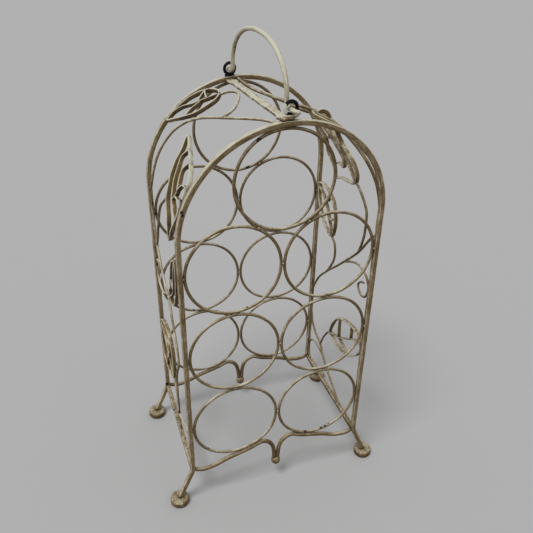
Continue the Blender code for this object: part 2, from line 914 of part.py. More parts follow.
def add_finials(collection):
    material = paint_material("finial", RAIL_PAINT)
    first = None
    for end, depth in (("front", -1), ("back", 1)):
        name = f"{end}_ball_finial"
        spot = (0, depth * HALF_SPACING, FINIAL_HEIGHT)
        if first is None:
            bpy.ops.mesh.primitive_uv_sphere_add(
                segments=FINIAL_STEPS,
                ring_count=FINIAL_STEPS // 2,
                radius=FINIAL_RADIUS,
            )
            first = bpy.context.object
            first.name = name
            first.data.materials.append(material)
            shade_smooth(first)
            place(first, collection, None, spot)
        else:
            add_copy(first, name, collection, None, spot)


def add_side_bars(collection):
    """Square bars from the front legs to the back legs, where the legs kink outwards."""
    material = paint_material("side_bar", TIE_PAINT)
    bpy.ops.mesh.primitive_cube_add(size=1)
    first = bpy.context.object
    first.name = "left_side_bar"
    first.data.transform(Matrix.Diagonal((BAR, FRAME_SPACING - BAR - 2 * GAP, BAR, 1)))
    first.data.materials.append(material)
    place(first, collection, None, (-FRAME_HALF_WIDTH, 0, TIE_HEIGHT))
    add_copy(first, "right_side_bar", collection, None, (FRAME_HALF_WIDTH, 0, TIE_HEIGHT))


def ridge_stations():
    """The ridge bar's cross-sections from back to front: each one's middle, width and
    thickness."""
    back = LEG_FACE - GAP
    back_height = crown_height(HALF_SPACING) - RIDGE_DROP_BACK
    front_height = crown_height(-HALF_SPACING) + RIDGE_RISE_FRONT
    seat_height = crown_height(-HALF_SPACING) + BAR / 2 + GAP + RIDGE_SEAT_THICKNESS / 2
    foot = RIDGE_END_LENGTH - LEG_FACE
    rows = [
        (back, back_height, RIDGE_END_WIDTH, RIDGE_THICKNESS),
        (back - RIDGE_END_LENGTH / 2, back_height, RIDGE_END_WIDTH, RIDGE_THICKNESS),
        (back - RIDGE_END_LENGTH, back_height, BAR, RIDGE_THICKNESS),
        (foot, front_height, BAR, RIDGE_THICKNESS),
        (foot - RIDGE_END_LENGTH / 2, front_height, RIDGE_END_WIDTH, RIDGE_THICKNESS),
        (GAP - LEG_FACE, seat_height, RIDGE_END_WIDTH, RIDGE_SEAT_THICKNESS),
        (-HALF_SPACING - BAR / 2, seat_height, RIDGE_END_WIDTH, RIDGE_SEAT_THICKNESS),
    ]
    slant = (RIDGE_SHIFT_BACK - RIDGE_SHIFT_FRONT) / FRAME_SPACING
    middle = (RIDGE_SHIFT_BACK + RIDGE_SHIFT_FRONT) / 2
    return [
        (Vector((middle + slant * depth, depth, height)), width, thickness)
        for depth, height, width, thickness in rows
    ]


def add_ridge_bar(collection):
    """The bar between the crowns, with its two hammered ends."""
    bm = bmesh.new()
    loops = []
    for middle, width, thickness in ridge_stations():
        corners = []
        for across, up in ((-1, -1), (1, -1), (1, 1), (-1, 1)):
            shift = Vector((across * width / 2, 0, up * thickness / 2))
            corners.append(bm.verts.new(middle + shift))
        loops.append(corners)
    for here, there in zip(loops, loops[1:]):
        for side in range(4):
            after = (side + 1) % 4
            bm.faces.new((here[side], here[after], there[after], there[side]))
    bm.faces.new(loops[0])
    bm.faces.new(loops[-1])
    bmesh.ops.recalc_face_normals(bm, faces=bm.faces[:])
    mesh = bpy.data.meshes.new("ridge_bar")
    bm.to_mesh(mesh)
    bm.free()
    mesh.materials.append(paint_material("ridge_bar", TIE_PAINT))
    place(bpy.data.objects.new("ridge_bar", mesh), collection)


def arch_top(across, depth):
    """Height of an arch bar's upper side at this place across it."""
    turn = math.pi / 2
    for _ in range(EYE_SEAT_ROUNDS):
        turn += (arch_point(turn, depth, BAR / 2).x - across) / FRAME_HALF_WIDTH
    return arch_point(turn, depth, BAR / 2).z


def handle_route():
    """The bail in its own frame: Y along its swing axis, Z up, origin midway."""
    through = HALF_SPACING + EYE_WIRE / 2 + HANDLE_ROD / 2 + GAP
    start = HANDLE_HALF_SPAN + HANDLE_BEND
    hook_turn = math.radians(HANDLE_HOOK_DEGREES)
    half = []
    for degrees in reversed(HANDLE_BEND_DEGREES):
        turn = math.radians(degrees)
        y = -through - HANDLE_HOOK * math.sin(turn)
        aside = HANDLE_HOOK * (1 - math.cos(turn))
        half.append(Vector((aside * math.cos(hook_turn), y, aside * math.sin(hook_turn))))
    for degrees in HANDLE_BEND_DEGREES:
        turn = math.radians(degrees)
        y = -start + HANDLE_BEND * math.sin(turn)
        half.append(Vector((0, y, HANDLE_BEND * (1 - math.cos(turn)))))
    power = 2 / HANDLE_FULLNESS
    height = HANDLE_RISE - HANDLE_BEND
    route = list(half)
    for step in range(1, HANDLE_ARCH_STEPS):
        turn = math.pi * step / HANDLE_ARCH_STEPS
        across = math.copysign(abs(math.cos(turn)) ** power, math.cos(turn))
        y = -HANDLE_HALF_SPAN * across
        route.append(Vector((0, y, HANDLE_BEND + height * math.sin(turn) ** power)))
    return route + [Vector((point.x, -point.y, point.z)) for point in reversed(half)]


def add_handle(collection):
    """The two eyes, and the bail whose parent empty lies on the swing axis.

    The front eye stands on the ridge bar's end, the back one on the arch."""
    eye_rise = GAP + EYE_RADIUS + EYE_WIRE / 2
    seat, _, seat_thickness = ridge_stations()[-1]
    front_height = seat.z + seat_thickness / 2 + eye_rise
    front = Vector((CROWN_SHIFT_FRONT, -HALF_SPACING, front_height))
    back_height = arch_top(CROWN_SHIFT_BACK, HALF_SPACING) + eye_rise
    back = Vector((CROWN_SHIFT_BACK, HALF_SPACING, back_height))
    tilt = Vector((0, 1, 0)).rotation_difference(back - front).to_euler()
    eye_turn = (tilt.to_matrix() @ Matrix.Rotation(math.pi / 2, 3, "X")).to_euler()
    material = paint_material("handle_eye", EYE_FINISH)
    eye = ring_object("front_handle_eye", EYE_RADIUS, EYE_WIRE, EYE_STEPS, EYE_SIDES, material)
    place(eye, collection, None, front, eye_turn)
    add_copy(eye, "back_handle_eye", collection, None, back, eye_turn)

    hole = EYE_RADIUS - EYE_WIRE / 2
    drop = hole - HANDLE_ROD / 2 - GAP
    pivot = bpy.data.objects.new("handle_pivot", None)
    place(pivot, collection, None, (front + back) / 2 - Vector((0, 0, drop)), tilt)
    bail_paint = paint_material("bail_handle", HANDLE_PAINT)
    bail = wire_object("bail_handle", handle_route(), HANDLE_ROD, bail_paint, BAIL_SIDES)
    place(bail, collection, pivot)


def flat_point(shares):
    """A table entry as a place on the unrolled panel, in metres."""
    return Vector((shares[0] * HALF_SPACING, UPPER_ROW_HEIGHT + shares[1] * RING_PITCH))


def flat_route(table, steps, closed=False):
    return smooth_route([flat_point(shares) for shares in table], steps, closed)


def on_panel(side, point, out=0):
    """Wraps a place of the unrolled panel onto the right (1) or left (-1) side.

    The left-hand panel is the right-hand one turned half round, front to back."""
    depth = side * point.x
    spring = crown_height(depth) - FRAME_HALF_WIDTH
    if point.y <= spring:
        return Vector((side * (FRAME_HALF_WIDTH + out), depth, point.y))
    turn = (point.y - spring) / FRAME_HALF_WIDTH
    return arch_point(turn if side > 0 else math.pi - turn, depth, out)


def leg_root(end, up_share):
    """A place on the front (-1) or back (1) frame's inner face."""
    return Vector((end * LEG_FACE, UPPER_ROW_HEIGHT + up_share * RING_PITCH))


def tie_root(across_share):
    """A place on the side bar's top."""
    return Vector((across_share * HALF_SPACING, TIE_TOP))


def strip_mesh(name, side, route, width, thickness, closed, material):
    """A flat strip standing on edge on the panel along the route, thickened both ways."""
    bm = bmesh.new()
    low = [bm.verts.new(on_panel(side, point, -width / 2)) for point in route]
    pairs = list(zip(low, low[1:] + low[:1])) if closed else list(zip(low, low[1:]))
    edges = [bm.edges.new(pair) for pair in pairs]
    raised = bmesh.ops.extrude_edge_only(bm, edges=edges)["geom"]
    for vert in (item for item in raised if isinstance(item, bmesh.types.BMVert)):
        index = min(range(len(route)), key=lambda k: (low[k].co - vert.co).length)
        vert.co = on_panel(side, route[index], width / 2)
    mesh = bpy.data.meshes.new(name)
    bm.to_mesh(mesh)
    bm.free()
    mesh.materials.append(material)
    obj = bpy.data.objects.new(name, mesh)
    thicken = obj.modifiers.new("thickness", "SOLIDIFY")
    thicken.thickness = thickness
    thicken.offset = 0
    thicken.use_even_offset = True
    return obj


def nearest_line_point(lines, point):
    """The nearest point to this one on any of the lines."""
    candidates = [nearest_on(line, point)[0] for line in lines]
    return min(candidates, key=lambda near: (near - point).length)


def leaf_object(name, side, outline, veins, material, collection, helpers):
    """A leaf: its rim of flat strip with the veins joined in, each rooted at both ends."""
    leaf = strip_mesh(name, side, outline, STRIP_WIDTH, STRIP_THICKNESS, True, material)
    place(leaf, collection)
    lines = [outline + outline[:1]]
    for number, vein in enumerate(veins):
        width = VEIN_WIDTH - number * VEIN_WIDTH_STEP
        route = flat_route(vein, LEAF_ROUTE_STEPS)
        route[0] = nearest_line_point(lines, route[0])
        route[-1] = nearest_line_point(lines, route[-1])
        lines.append(route)
        rib_name = f"{name}_vein_{number}"
        rib = strip_mesh(rib_name, side, route, width, VEIN_THICKNESS, False, material)
        place(rib, helpers)
        rib.hide_render = True
        rib.display_type = "WIRE"
        join = leaf.modifiers.new("vein", "BOOLEAN")
        join.operation = "UNION"
        join.solver = "EXACT"
        join.object = rib
    return leaf


def add_vine_panel(side, side_name, collection, helpers):
    """One panel's twelve pieces, in the order in which they seat on each other."""
    main_table, roof_table, *leaves, curl, hook_table = VINE_SHARES[side_name]
    pointed, shoulder, rounded, roof_leaf = leaves
    stem_paint = paint_material(f"{side_name}_vine_stem", VINE_PAINT)
    leaf_paint = paint_material(f"{side_name}_vine_leaf", LEAF_PAINT)
    stem = STEM_WIRE / 2
    strip = STRIP_THICKNESS / 2

    def add_stem(name, route, wire=STEM_WIRE):
        points = [on_panel(side, point) for point in route]
        piece = wire_object(f"{side_name}_{name}", points, wire, stem_paint, THIN_WIRE_SIDES)
        place(piece, collection)

    def add_leaf(name, carrier, stem_table, leaf_table, veins):
        outline = flat_route(leaf_table, LEAF_ROUTE_STEPS, closed=True)
        outline = keep_between_legs(outline, STRIP_THICKNESS)
        outline = lean_on(outline, carrier, stem + strip + GAP)
        leaf_name = f"{side_name}_{name}"
        leaf_object(leaf_name, side, outline, veins, leaf_paint, collection, helpers)
        branch = flat_route(stem_table, STEM_ROUTE_STEPS)
        branch = seat_start(branch, stem, beside_wire(carrier, stem))
        branch = seat_end(branch, stem, beside_wire(outline + outline[:1], strip))
        add_stem(name + "_stem", branch)

    points = [leg_root(-1, main_table[0])]
    points += [flat_point(shares) for shares in main_table[1]]
    points.append(tie_root(main_table[2]))
    main = seat_start(smooth_route(points, STEM_ROUTE_STEPS), stem, beside_leg(-1))
    main = seat_end(keep_between_legs(main, stem), stem, above_tie)
    add_stem("main_stem", main)

    points = [leg_root(1, roof_table[0])]
    points += [flat_point(shares) for shares in roof_table[1]]
    points.append(leg_root(-1, roof_table[2]))
    roof = seat_start(smooth_route(points, STEM_ROUTE_STEPS), stem, beside_leg(1))
    roof = seat_end(roof, stem, beside_leg(-1))
    add_stem("roof_stem", roof)

    add_leaf("pointed_leaf", main, *pointed)
    add_leaf("shoulder_leaf", main, *shoulder)
    add_leaf("round_leaf", main, *rounded)
    add_leaf("roof_leaf", roof, *roof_leaf)

    tendril = flat_route(curl, STEM_ROUTE_STEPS)
    tendril = keep_between_legs(tendril, TENDRIL_WIRE / 2)
    tendril = seat_start(tendril, TENDRIL_WIRE / 2, beside_wire(main, stem))
    add_stem("tendril", tendril, TENDRIL_WIRE)

    points = [tie_root(hook_table[0])]
    points += [flat_point(shares) for shares in hook_table[1]]
    hook = keep_between_legs(smooth_route(points, STEM_ROUTE_STEPS), stem)
    hook = seat_start(hook, stem, above_tie)
    hook = seat_end(hook, stem, beside_wire(main, stem))
    add_stem("bottom_hook", hook)


def build():
    clear_scene()
    rack = new_collection("wine_rack")
    helpers = new_collection("cutters", hidden=True)
    add_arch_bars(rack)
    add_feet(rack)
    add_rings(rack)
    add_rails(rack)
    add_finials(rack)
    add_side_bars(rack)
    add_ridge_bar(rack)
    add_handle(rack)
    for side, side_name in ((-1, "left"), (1, "right")):
        add_vine_panel(side, side_name, rack, helpers)


build()
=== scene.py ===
"""The looks of a wrought iron wine rack: worn cream paint over brown iron, with its weld
beads, chips and hand-bent wires, on a plain grey studio floor.

Lengths are in metres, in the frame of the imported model."""

import math

import bpy
import numpy as np
from mathutils import Matrix, Vector, noise


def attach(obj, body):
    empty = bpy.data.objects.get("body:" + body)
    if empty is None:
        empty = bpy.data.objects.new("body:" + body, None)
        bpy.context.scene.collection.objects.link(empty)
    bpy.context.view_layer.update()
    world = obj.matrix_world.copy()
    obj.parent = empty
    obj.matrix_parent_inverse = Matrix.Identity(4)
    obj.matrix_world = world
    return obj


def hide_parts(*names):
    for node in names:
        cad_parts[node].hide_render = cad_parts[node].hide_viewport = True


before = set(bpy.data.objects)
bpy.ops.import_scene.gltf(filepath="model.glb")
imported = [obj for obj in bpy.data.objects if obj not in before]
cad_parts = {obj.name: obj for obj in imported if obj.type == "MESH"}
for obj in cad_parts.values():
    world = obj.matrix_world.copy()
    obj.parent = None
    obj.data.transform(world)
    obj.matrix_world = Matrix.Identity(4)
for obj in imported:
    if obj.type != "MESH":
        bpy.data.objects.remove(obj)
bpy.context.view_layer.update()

# Without this the vector noise starts from the clock
noise.seed_set(7)

# Layout of the solids
GAP = 0.0003
RING_RADIUS = 0.052
FRONT_TOP_RING_RADIUS = 0.053
BACK_TOP_RING_RADIUS = 0.0542
RING_WIRE = 0.0035
BAR = 0.0055
BAR_CORNER = 0.0008
FRAME_SPACING = 0.1622
LOWEST_ROW_HEIGHT = 0.1204
TIE_HEIGHT = 0.053
FRONT_ARCH_LEAN = 0.006
BACK_ARCH_LEAN = 0.0038
KNEE_RISE = 0.004
KNEE_DROP_SHARE = 0.06
FOOT_SPREAD = 0.0195
FOOT_RADIUS = 0.0118
FOOT_BASE_RADIUS = 0.0108
FOOT_SEAT_RADIUS = 0.0088
FOOT_HEIGHT = 0.009
FOOT_RIM_HEIGHT = 0.0062
FOOT_SIDE_HEIGHT = 0.0022
FOOT_HEEL_HEIGHT = 0.0008
FOOT_FLAT_HEIGHT = 0.0005
FOOT_HOLLOW = 0.0002
FOOT_CENTRE_RADIUS = 0.0004
FOOT_WELD_SHIFT = 0.002
LEG_SINK = 0.001
RAIL_WIRE = 0.0054
RAIL_ROOT_DEPTH = 0.001
FINIAL_RADIUS = 0.006
FINIAL_HEIGHT = 0.032
RIDGE_WIDTH = 0.0080
RIDGE_END_WIDTH = 0.0134
RIDGE_END_LENGTH = 0.015
RIDGE_THICKNESS = 0.0038
RIDGE_SEAT_THICKNESS = 0.0030
RIDGE_CORNER_SHARE = 0.24
RIDGE_SHIFT_FRONT = -0.0008
RIDGE_SHIFT_BACK = -0.0088
RIDGE_RISE_FRONT = 0.0020
RIDGE_DROP_BACK = 0.0026
CROWN_SHIFT_FRONT = 0.0026
CROWN_SHIFT_BACK = -0.0095
EYE_RADIUS = 0.0061
EYE_WIRE = 0.0036
FRONT_LUMP = (0.0085, 0.0026, 0.0028)
BACK_LUMP = (0.0062, 0.0026, 0.0024)
LUMP_SINK = 0.0002
HANDLE_ROD = 0.005
HANDLE_PAINT = 0.00015
HANDLE_HALF_SPAN = 0.0712
HANDLE_RISE = 0.0555
HANDLE_BEND = 0.006
HANDLE_HOOK = 0.0055
HANDLE_HOOK_DEGREES = -12.0
HANDLE_FULLNESS = 2.2
HANDLE_TIP = 0.76
TIP_LENGTH = 0.011
STEM_WIRE = 0.003
TENDRIL_WIRE = 0.0028
THICK_STEM_RADIUS = STEM_WIRE * 0.64
STRIP_WIDTH = 0.005
STRIP_THICKNESS = 0.002
VEIN_WIDTH = 0.0046
VEIN_THICKNESS = 0.0018
STRIP_CORNER = 0.0006
LEG_ROOT_DEPTH = 0.0005
TIE_ROOT_DEPTH = 0.0008

# How far the right-hand roof leaf's stem and rim lift, and where
STEM_CURL = 0.002
RIM_CURL = 0.0052
RIM_CURL_SPOT = (-46, 152)
RIM_CURL_REACH = 0.0085

HALF_SPACING = FRAME_SPACING / 2
RING_PITCH = 2 * RING_RADIUS + RING_WIRE + GAP
FRAME_HALF_WIDTH = RING_PITCH / 2 + RING_RADIUS + RING_WIRE / 2 + GAP + BAR / 2
UPPER_ROW_HEIGHT = LOWEST_ROW_HEIGHT + 2 * RING_PITCH
LEG_FACE = HALF_SPACING - BAR / 2
TIE_TOP = TIE_HEIGHT + BAR / 2

ENDS = ((-1, "front"), (1, "back"))
SIDES = ((-1, "left"), (1, "right"))

RAIL_OUTER_SHARES = [(-0.9, -0.05), (-0.76, -0.02), (-0.61, 0.075)]
RAIL_INNER_SHARES = [(-0.19, 0.29), (-0.11, 0.25), (-0.055, 0.135), (-0.03, -0.015)]
RAIL_CONTACT_DEGREES = (-78.0, -66.0)
RAIL_WELD_DEGREES = -72.0

# Vine routes on each panel, unrolled flat, in hundredths: across in shares of half the frame
# spacing and up in ring pitches from the middle of the upper row. The left-hand panel is
# turned half round. The stems off the frame come with where they meet it, and each leaf is
# its stem, its rim and its veins
RIGHT_VINE = {
    "main": (13, [
        (-84, 5), (-53, -25), (-12, -55), (17, -75), (44, -93), (78, -120), (98, -154),
        (90, -190), (73, -204), (48, -212), (25, -229), (0, -241), (-28, -253),
    ], -44),
    "roof": (207, [
        (75, 206.5), (51, 205), (33, 202), (14, 196.5), (-6, 190), (-22, 182), (-31, 168),
        (-33, 150), (-38, 133), (-47, 117), (-60, 102), (-73, 88), (-86, 70),
    ], 42),
    "tendril": [
        (-12, -55), (-38, -44), (-60, -39), (-82, -42), (-93, -53), (-88, -67), (-74, -71),
        (-63, -64), (-70, -56), (-80, -53),
    ],
    "hook": (85, [(94, -250), (93, -234), (80, -223), (57, -220), (36, -223), (25, -229)]),
    "pointed_leaf": ([
        (44, -93), (27, -74), (21, -60), (25, -47), (37, -40),
    ], [
        (37, -40), (29, -27), (29, -13), (38, 2), (53, 10), (76, 14), (99, 10), (93, -7),
        (80, -25), (59, -37),
    ], [
        [(37, -40), (52, -20), (72, -2), (99, 10)],
        [(29, -13), (40, -20), (52, -20)],
        [(53, 10), (60, -2), (72, -2)],
    ]),
    "shoulder_leaf": ([
        (-53, -25), (-61, -9), (-65, 6), (-63, 28), (-44, 42), (-25, 49),
    ], [
        (-24, 48), (-27, 61), (-16, 73), (-2, 81), (7, 90), (5, 103), (-9, 121), (20, 115),
        (50, 107), (74, 98), (90, 86), (74, 74), (70, 58), (50, 48), (38, 36), (20, 41),
        (0, 43),
    ], [
        [(-24, 48), (-5, 62), (12, 78), (33, 95), (50, 107)],
        [(12, 78), (6, 98), (-9, 121)],
        [(50, 48), (30, 56), (14, 55), (16, 66), (45, 82), (74, 98)],
        [(45, 82), (62, 79), (74, 74)],
    ]),
    "round_leaf": ([
        (48, -212), (42, -202), (36, -193), (23, -179), (12, -172),
    ], [
        (12, -172), (8, -160), (-2, -146), (-18, -134), (-42, -126), (-72, -123), (-93, -132),
        (-90, -147), (-67, -164), (-42, -173), (-14, -176),
    ], [
        [(12, -172), (-20, -162), (-48, -149), (-73, -136), (-93, -132)],
        [(-18, -134), (-18, -148), (-20, -162)],
        [(-20, -162), (-34, -165), (-52, -170)],
        [(-60, -124), (-60, -133), (-60, -143)],
    ]),
    "roof_leaf": ([
        (-22, 182), (-30, 188), (-42, 187), (-51, 180), (-54, 170),
    ], [
        (-54, 168), (-47, 158), (-47, 146), (-54, 134), (-64, 124), (-79, 115), (-97, 108),
        (-96, 125), (-94, 142), (-87, 160), (-71, 169),
    ], [
        [(-54, 168), (-66, 150), (-80, 129), (-97, 108)],
        [(-48, 142), (-58, 148), (-66, 150)],
    ]),
}
LEFT_VINE = {
    "main": (20, [
        (-93, -5), (-76, -33), (-54, -52), (-31, -65), (-9, -71), (3, -80), (13, -93),
        (26, -107), (38, -124), (39, -142), (24, -160), (12, -179), (9, -200), (10, -224),
    ], 11),
    "roof": (186.5, [
        (84, 183), (70, 177), (53, 168), (26, 155), (-2, 144), (-26, 133), (-42, 122),
        (-55, 107), (-63, 86), (-67, 66), (-71, 50), (-82, 37),
    ], 30),
    "tendril": [
        (-15, -71), (-36, -81), (-55, -88), (-74, -89), (-89, -84), (-94, -72), (-90, -60),
        (-78, -56), (-70, -63), (-75, -72),
    ],
    "hook": (90, [
        (95, -240), (93, -220), (80, -212), (62, -219), (46, -225), (30, -231), (12, -236),
    ]),
    "pointed_leaf": ([
        (-10, -72), (0, -69), (10, -65), (22, -56),
    ], [
        (22, -56), (21, -48), (33, -39), (37, -27), (43, -15), (51, -4), (61, 4), (75, 10),
        (81, 1), (79, -10), (76, -22), (70, -33), (62, -44), (49, -55), (34, -60), (26, -60),
    ], [
        [(22, -56), (43, -44), (55, -30), (61, -16), (65, -2), (75, 10)],
        [(37, -27), (46, -32), (53, -33)],
    ]),
    "shoulder_leaf": ([
        (-76, -33), (-65, -22), (-55, -9), (-44, 5), (-32, 20), (-16, 34), (4, 47), (30, 62),
    ], [
        (30, 62), (24, 74), (18, 85), (14, 95), (10, 106), (-2, 118), (22, 113), (50, 106),
        (70, 100), (83, 93), (88, 82), (88, 70), (87, 59), (77, 48), (64, 36), (49, 23),
        (48, 36), (46, 47), (38, 54),
    ], [
        [(85, 56), (66, 63), (50, 70), (40, 79), (31, 91), (23, 102), (31, 111)],
        [(55, 67), (62, 77), (53, 87), (47, 95), (55, 105)],
        [(61, 78), (70, 86), (86, 88)],
        [(58, 72), (72, 73), (88, 74)],
    ]),
    "round_leaf": ([
        (8, -216), (0, -208), (-5, -199), (-7, -189),
    ], [
        (-7, -189), (-3, -175), (-3, -160), (-7, -148), (-17, -139), (-34, -133), (-56, -135),
        (-78, -141), (-93, -150), (-94, -168), (-93, -186), (-84, -200), (-66, -204),
        (-47, -202), (-25, -197),
    ], [
        [(-7, -189), (-26, -180), (-46, -169), (-70, -160), (-93, -150)],
        [(-17, -139), (-26, -155), (-35, -174)],
        [(-35, -174), (-52, -185), (-66, -204)],
    ]),
    "roof_leaf": ([
        (21, 153), (13, 166), (-5, 175), (-24, 181), (-39, 182), (-49, 176), (-50, 167),
    ], [
        (-50, 167), (-38, 160), (-34, 150), (-37, 138), (-52, 127), (-75, 117), (-97, 110),
        (-96, 127), (-93, 142), (-84, 159), (-67, 168),
    ], [
        [(-50, 167), (-57, 153), (-66, 142), (-83, 132), (-92, 122), (-97, 110)],
        [(-52, 127.5), (-57, 136), (-58, 145), (-60, 149)],
        [(-84, 159), (-70, 156), (-56, 155)],
        [(-84, 159), (-72, 151), (-62, 146)],
    ]),
}
VINES = {"left": LEFT_VINE, "right": RIGHT_VINE}

# Points along each shape
ROUTE_STEPS = 7
RIM_STEPS = 6
VEIN_STEPS = 5
RAIL_STEPS = 8
FOOT_LEG_STEPS = 10
LEG_STEPS = 60
ARCH_STEPS = 110
RING_STEPS = 112
TIE_STEPS = 60
RIDGE_STEPS = 90
HANDLE_STEPS = 90
HOOK_STEPS = 6
DOME_STEPS = 4
EYE_STEPS = 48
FOOT_SIDES = 40
FOOT_RIM_STEPS = 12

# Hammered unevenness: how far points move, and how often it changes per metre
ARCH_HAMMER = (0.00016, 90.0)
RING_HAMMER = (0.0001, 140.0)
TIE_HAMMER = (0.0002, 90.0)
RIDGE_HAMMER = (0.0003, 110.0)
RAIL_HAMMER = (0.0002, 130.0)
WIRE_HAMMER = (0.00015, 130.0)
EYE_HAMMER = (0.00025, 260.0)
LEAF_HAMMER = (0.0003, 120.0)
FOOT_HAMMER = (0.0004, 170.0)
FINIAL_HAMMER = (0.0003, 300.0)
LUMP_HAMMER = (0.0006, 300.0)
RING_BULGE = 0.0005
RING_WAVER = 0.0006

# How far wear spreads from each kind of weld
FRAME_WELD_REACH = 0.0045
CORNER_WELD_REACH = 0.004
FOOT_WELD_REACH = 0.0042
VINE_WELD_REACH = 0.0035
ROOT_WELD_REACH = 0.005
VEIN_WELD_REACH = 0.0032

# Half sizes of the weld beads that lie flat and of those that stand upright: the range of
# their length, then their two short sizes
FLAT_BEAD = ((0.0022, 0.0034), 0.0017, 0.0015)
UPRIGHT_BEAD = ((0.0016, 0.0024), 0.0018, 0.0019)

# Camera solved from the photograph
CAMERA_SPOT = (-0.2000, -0.5904, 0.6686)
CAMERA_DEGREES = (19.631, 31.648, 1.157)  # yaw, pitch and roll
CAMERA_LENS = 40.74
SENSOR = 36.0

# Studio
WORLD_COLOUR = (1.0, 1.0, 1.0, 1.0)
WORLD_STRENGTH = 0.52
SUN_STRENGTH = 1.57
SUN_SPREAD_DEGREES = 20
SUN_DIRECTION = (0.41, 0.26, -1.0)
FLOOR_REACH = 30.0

# Paint colours, linear
CREAM = (0.59, 0.578, 0.46, 1.0)
GREYED = (0.44, 0.42, 0.345, 1.0)
PALE = (0.46, 0.405, 0.295, 1.0)
TAN = (0.26, 0.195, 0.106, 1.0)
BROWN = (0.140, 0.092, 0.036, 1.0)
UMBER = (0.185, 0.115, 0.036, 1.0)
DARK = (0.058, 0.031, 0.007, 1.0)
CHIP = (0.007, 0.0065, 0.006, 1.0)
BLACK = (0.003, 0.0035, 0.0045, 1.0)
SOFT_BLACK = (0.009, 0.01, 0.012, 1.0)
FLOOR = (0.452, 0.452, 0.452, 1.0)

# Each noise in the paint: how often it changes per metre, its detail and its roughness.
# The brush noise lies on places that are stretched along the wire
NOISES = {
    "brush": (1.0, 4.0, 0.6),
    "broad": (42.0, 4.0, 0.6),
    "holes": (120.0, 2.0, 0.45),
    "smear": (150.0, 3.0, 0.6),
    "ragged": (210.0, 4.0, 0.65),
    "bare": (330.0, 2.0, 0.5),
    "fine": (420.0, 3.0, 0.6),
    "eye": (500.0, 3.0, 0.6),
    "grain": (1500.0, 2.0, 0.5),
}
BRUSH_STRETCH = (85.0, 620.0, 620.0)

# How much lighter a face that looks right, back and up comes out: partly cream dry-brushed from
# above, partly painted light and shade from the lamp at the upper left front (left faces and tops
# lighter, right faces and undersides darker)
FACING_PAINT_AND_LIGHT_SHARES = {"X": -0.20, "Y": 0.05, "Z": 0.70}
BRUSH_SWING = 1.5
SPECK_SWING = 0.8

# The amounts of light paint and painted light between which each further colour sets in; the brown
# and dark steps give the painted shade on the undersides
PALE_STEP = (0.0, 0.32)
LIGHT_STEP = (0.3, 0.66)
BROWN_STEP = (-0.02, -0.42)
DARK_STEP = (-0.42, -0.95)

# How far out from the middle of a bar or strip its edges begin and are full
EDGE_PLACES = {
    "bar": (BAR / 2 * 0.55, BAR / 2 * 0.95),
    "strip": (STRIP_WIDTH / 2 * 0.72, STRIP_WIDTH / 2 * 0.98),
}
# Painted shade in corners and crevices from the AO node: where it sets in, and how dark
CORNER_SHADE_STEP = (0.82, 0.30)
CORNER_SHADE_STRENGTH = 0.66
WEAR_STRENGTH = 0.85
RAGGED_STEP = (0.36, 0.56)
WELD_BARE_STEP = (0.50, 0.58)
HOLE_STEP = (0.745, 0.755)
KNOCK_STEP = (0.44, 0.54)
KNOCK_SWING = 0.7
RUB_STEP = (0.45, 0.55)
RUB_SWING = 0.5

# Where the paint is knocked off to black iron: place and spread, in tenths of a millimetre
BARE_SPOTS = [
    (-898, -796, 845, 26), (-1134, -624, 530, 24), (-1120, -100, 815, 30),
    (-1048, -839, 4097, 20), (-1052, -839, 4130, 20), (-866, 833, 4504, 24),
    (-271, -829, 4741, 37), (118, 803, 3803, 34), (-745, 476, 4597, 28), (-1095, 783, 3474, 30),
    (-1095, 783, 3340, 28), (614, -806, 707, 28), (672, -809, 721, 26), (739, -797, 737, 26),
    (190, 796, 1581, 30), (-390, -801, 2877, 24), (-332, -797, 2767, 22), (385, -811, 710, 24),
    (-1125, 740, 2650, 34), (20, -801, 3610, 24), (-1134, 800, 545, 34), (-1130, 260, 550, 24),
]
BARE_SPOT_REACH = 0.0035
NEAR = 0.01


# Places


def smooth_route(points, steps, closed=False):
    """A smooth line through the points, with this many steps from one to the next."""
    points = np.array(points, float)
    count = len(points)
    route = []
    for span in range(count if closed else count - 1):
        around = span + np.arange(-1, 3)
        around = around % count if closed else np.clip(around, 0, count - 1)
        before, start, end, after = points[around]
        for step in range(steps):
            t = step / steps
            route.append(0.5 * (
                2 * start + (end - before) * t
                + (2 * before - 5 * start + 4 * end - after) * t**2
                + (3 * start - before - 3 * end + after) * t**3
            ))
    if not closed:
        route.append(points[-1])
    return np.array(route)


def distances_along(route):
    """How far along the route each of its points lies."""
    return np.concatenate([[0.0], np.cumsum(np.linalg.norm(np.diff(route, axis=0), axis=1))])


def top_ring(end):
    """Radius and height of the top ring of the front or back frame."""
    radius = BACK_TOP_RING_RADIUS if end > 0 else FRONT_TOP_RING_RADIUS
    reach = RING_RADIUS + radius + RING_WIRE + GAP
    return radius, UPPER_ROW_HEIGHT + math.sqrt(reach**2 - (RING_PITCH / 2) ** 2)


def crown_height(depth):
    """Height of the middle of the arch bar's top, at this depth."""
    heights = []
    for end, _ in ENDS:
        radius, height = top_ring(end)
        heights.append(height + radius + RING_WIRE / 2 + GAP + BAR / 2)
    return heights[0] + (heights[1] - heights[0]) * (depth + HALF_SPACING) / FRAME_SPACING


def arch_point(turn, depth, out=0.0):
    back_share = (depth + HALF_SPACING) / FRAME_SPACING
    lean = FRONT_ARCH_LEAN + (BACK_ARCH_LEAN - FRONT_ARCH_LEAN) * back_share
    spring = crown_height(depth) - FRAME_HALF_WIDTH
    reach = FRAME_HALF_WIDTH + out
    across = reach * math.cos(turn) + lean * math.sin(turn)
    return np.array((across, depth, spring + reach * math.sin(turn)))


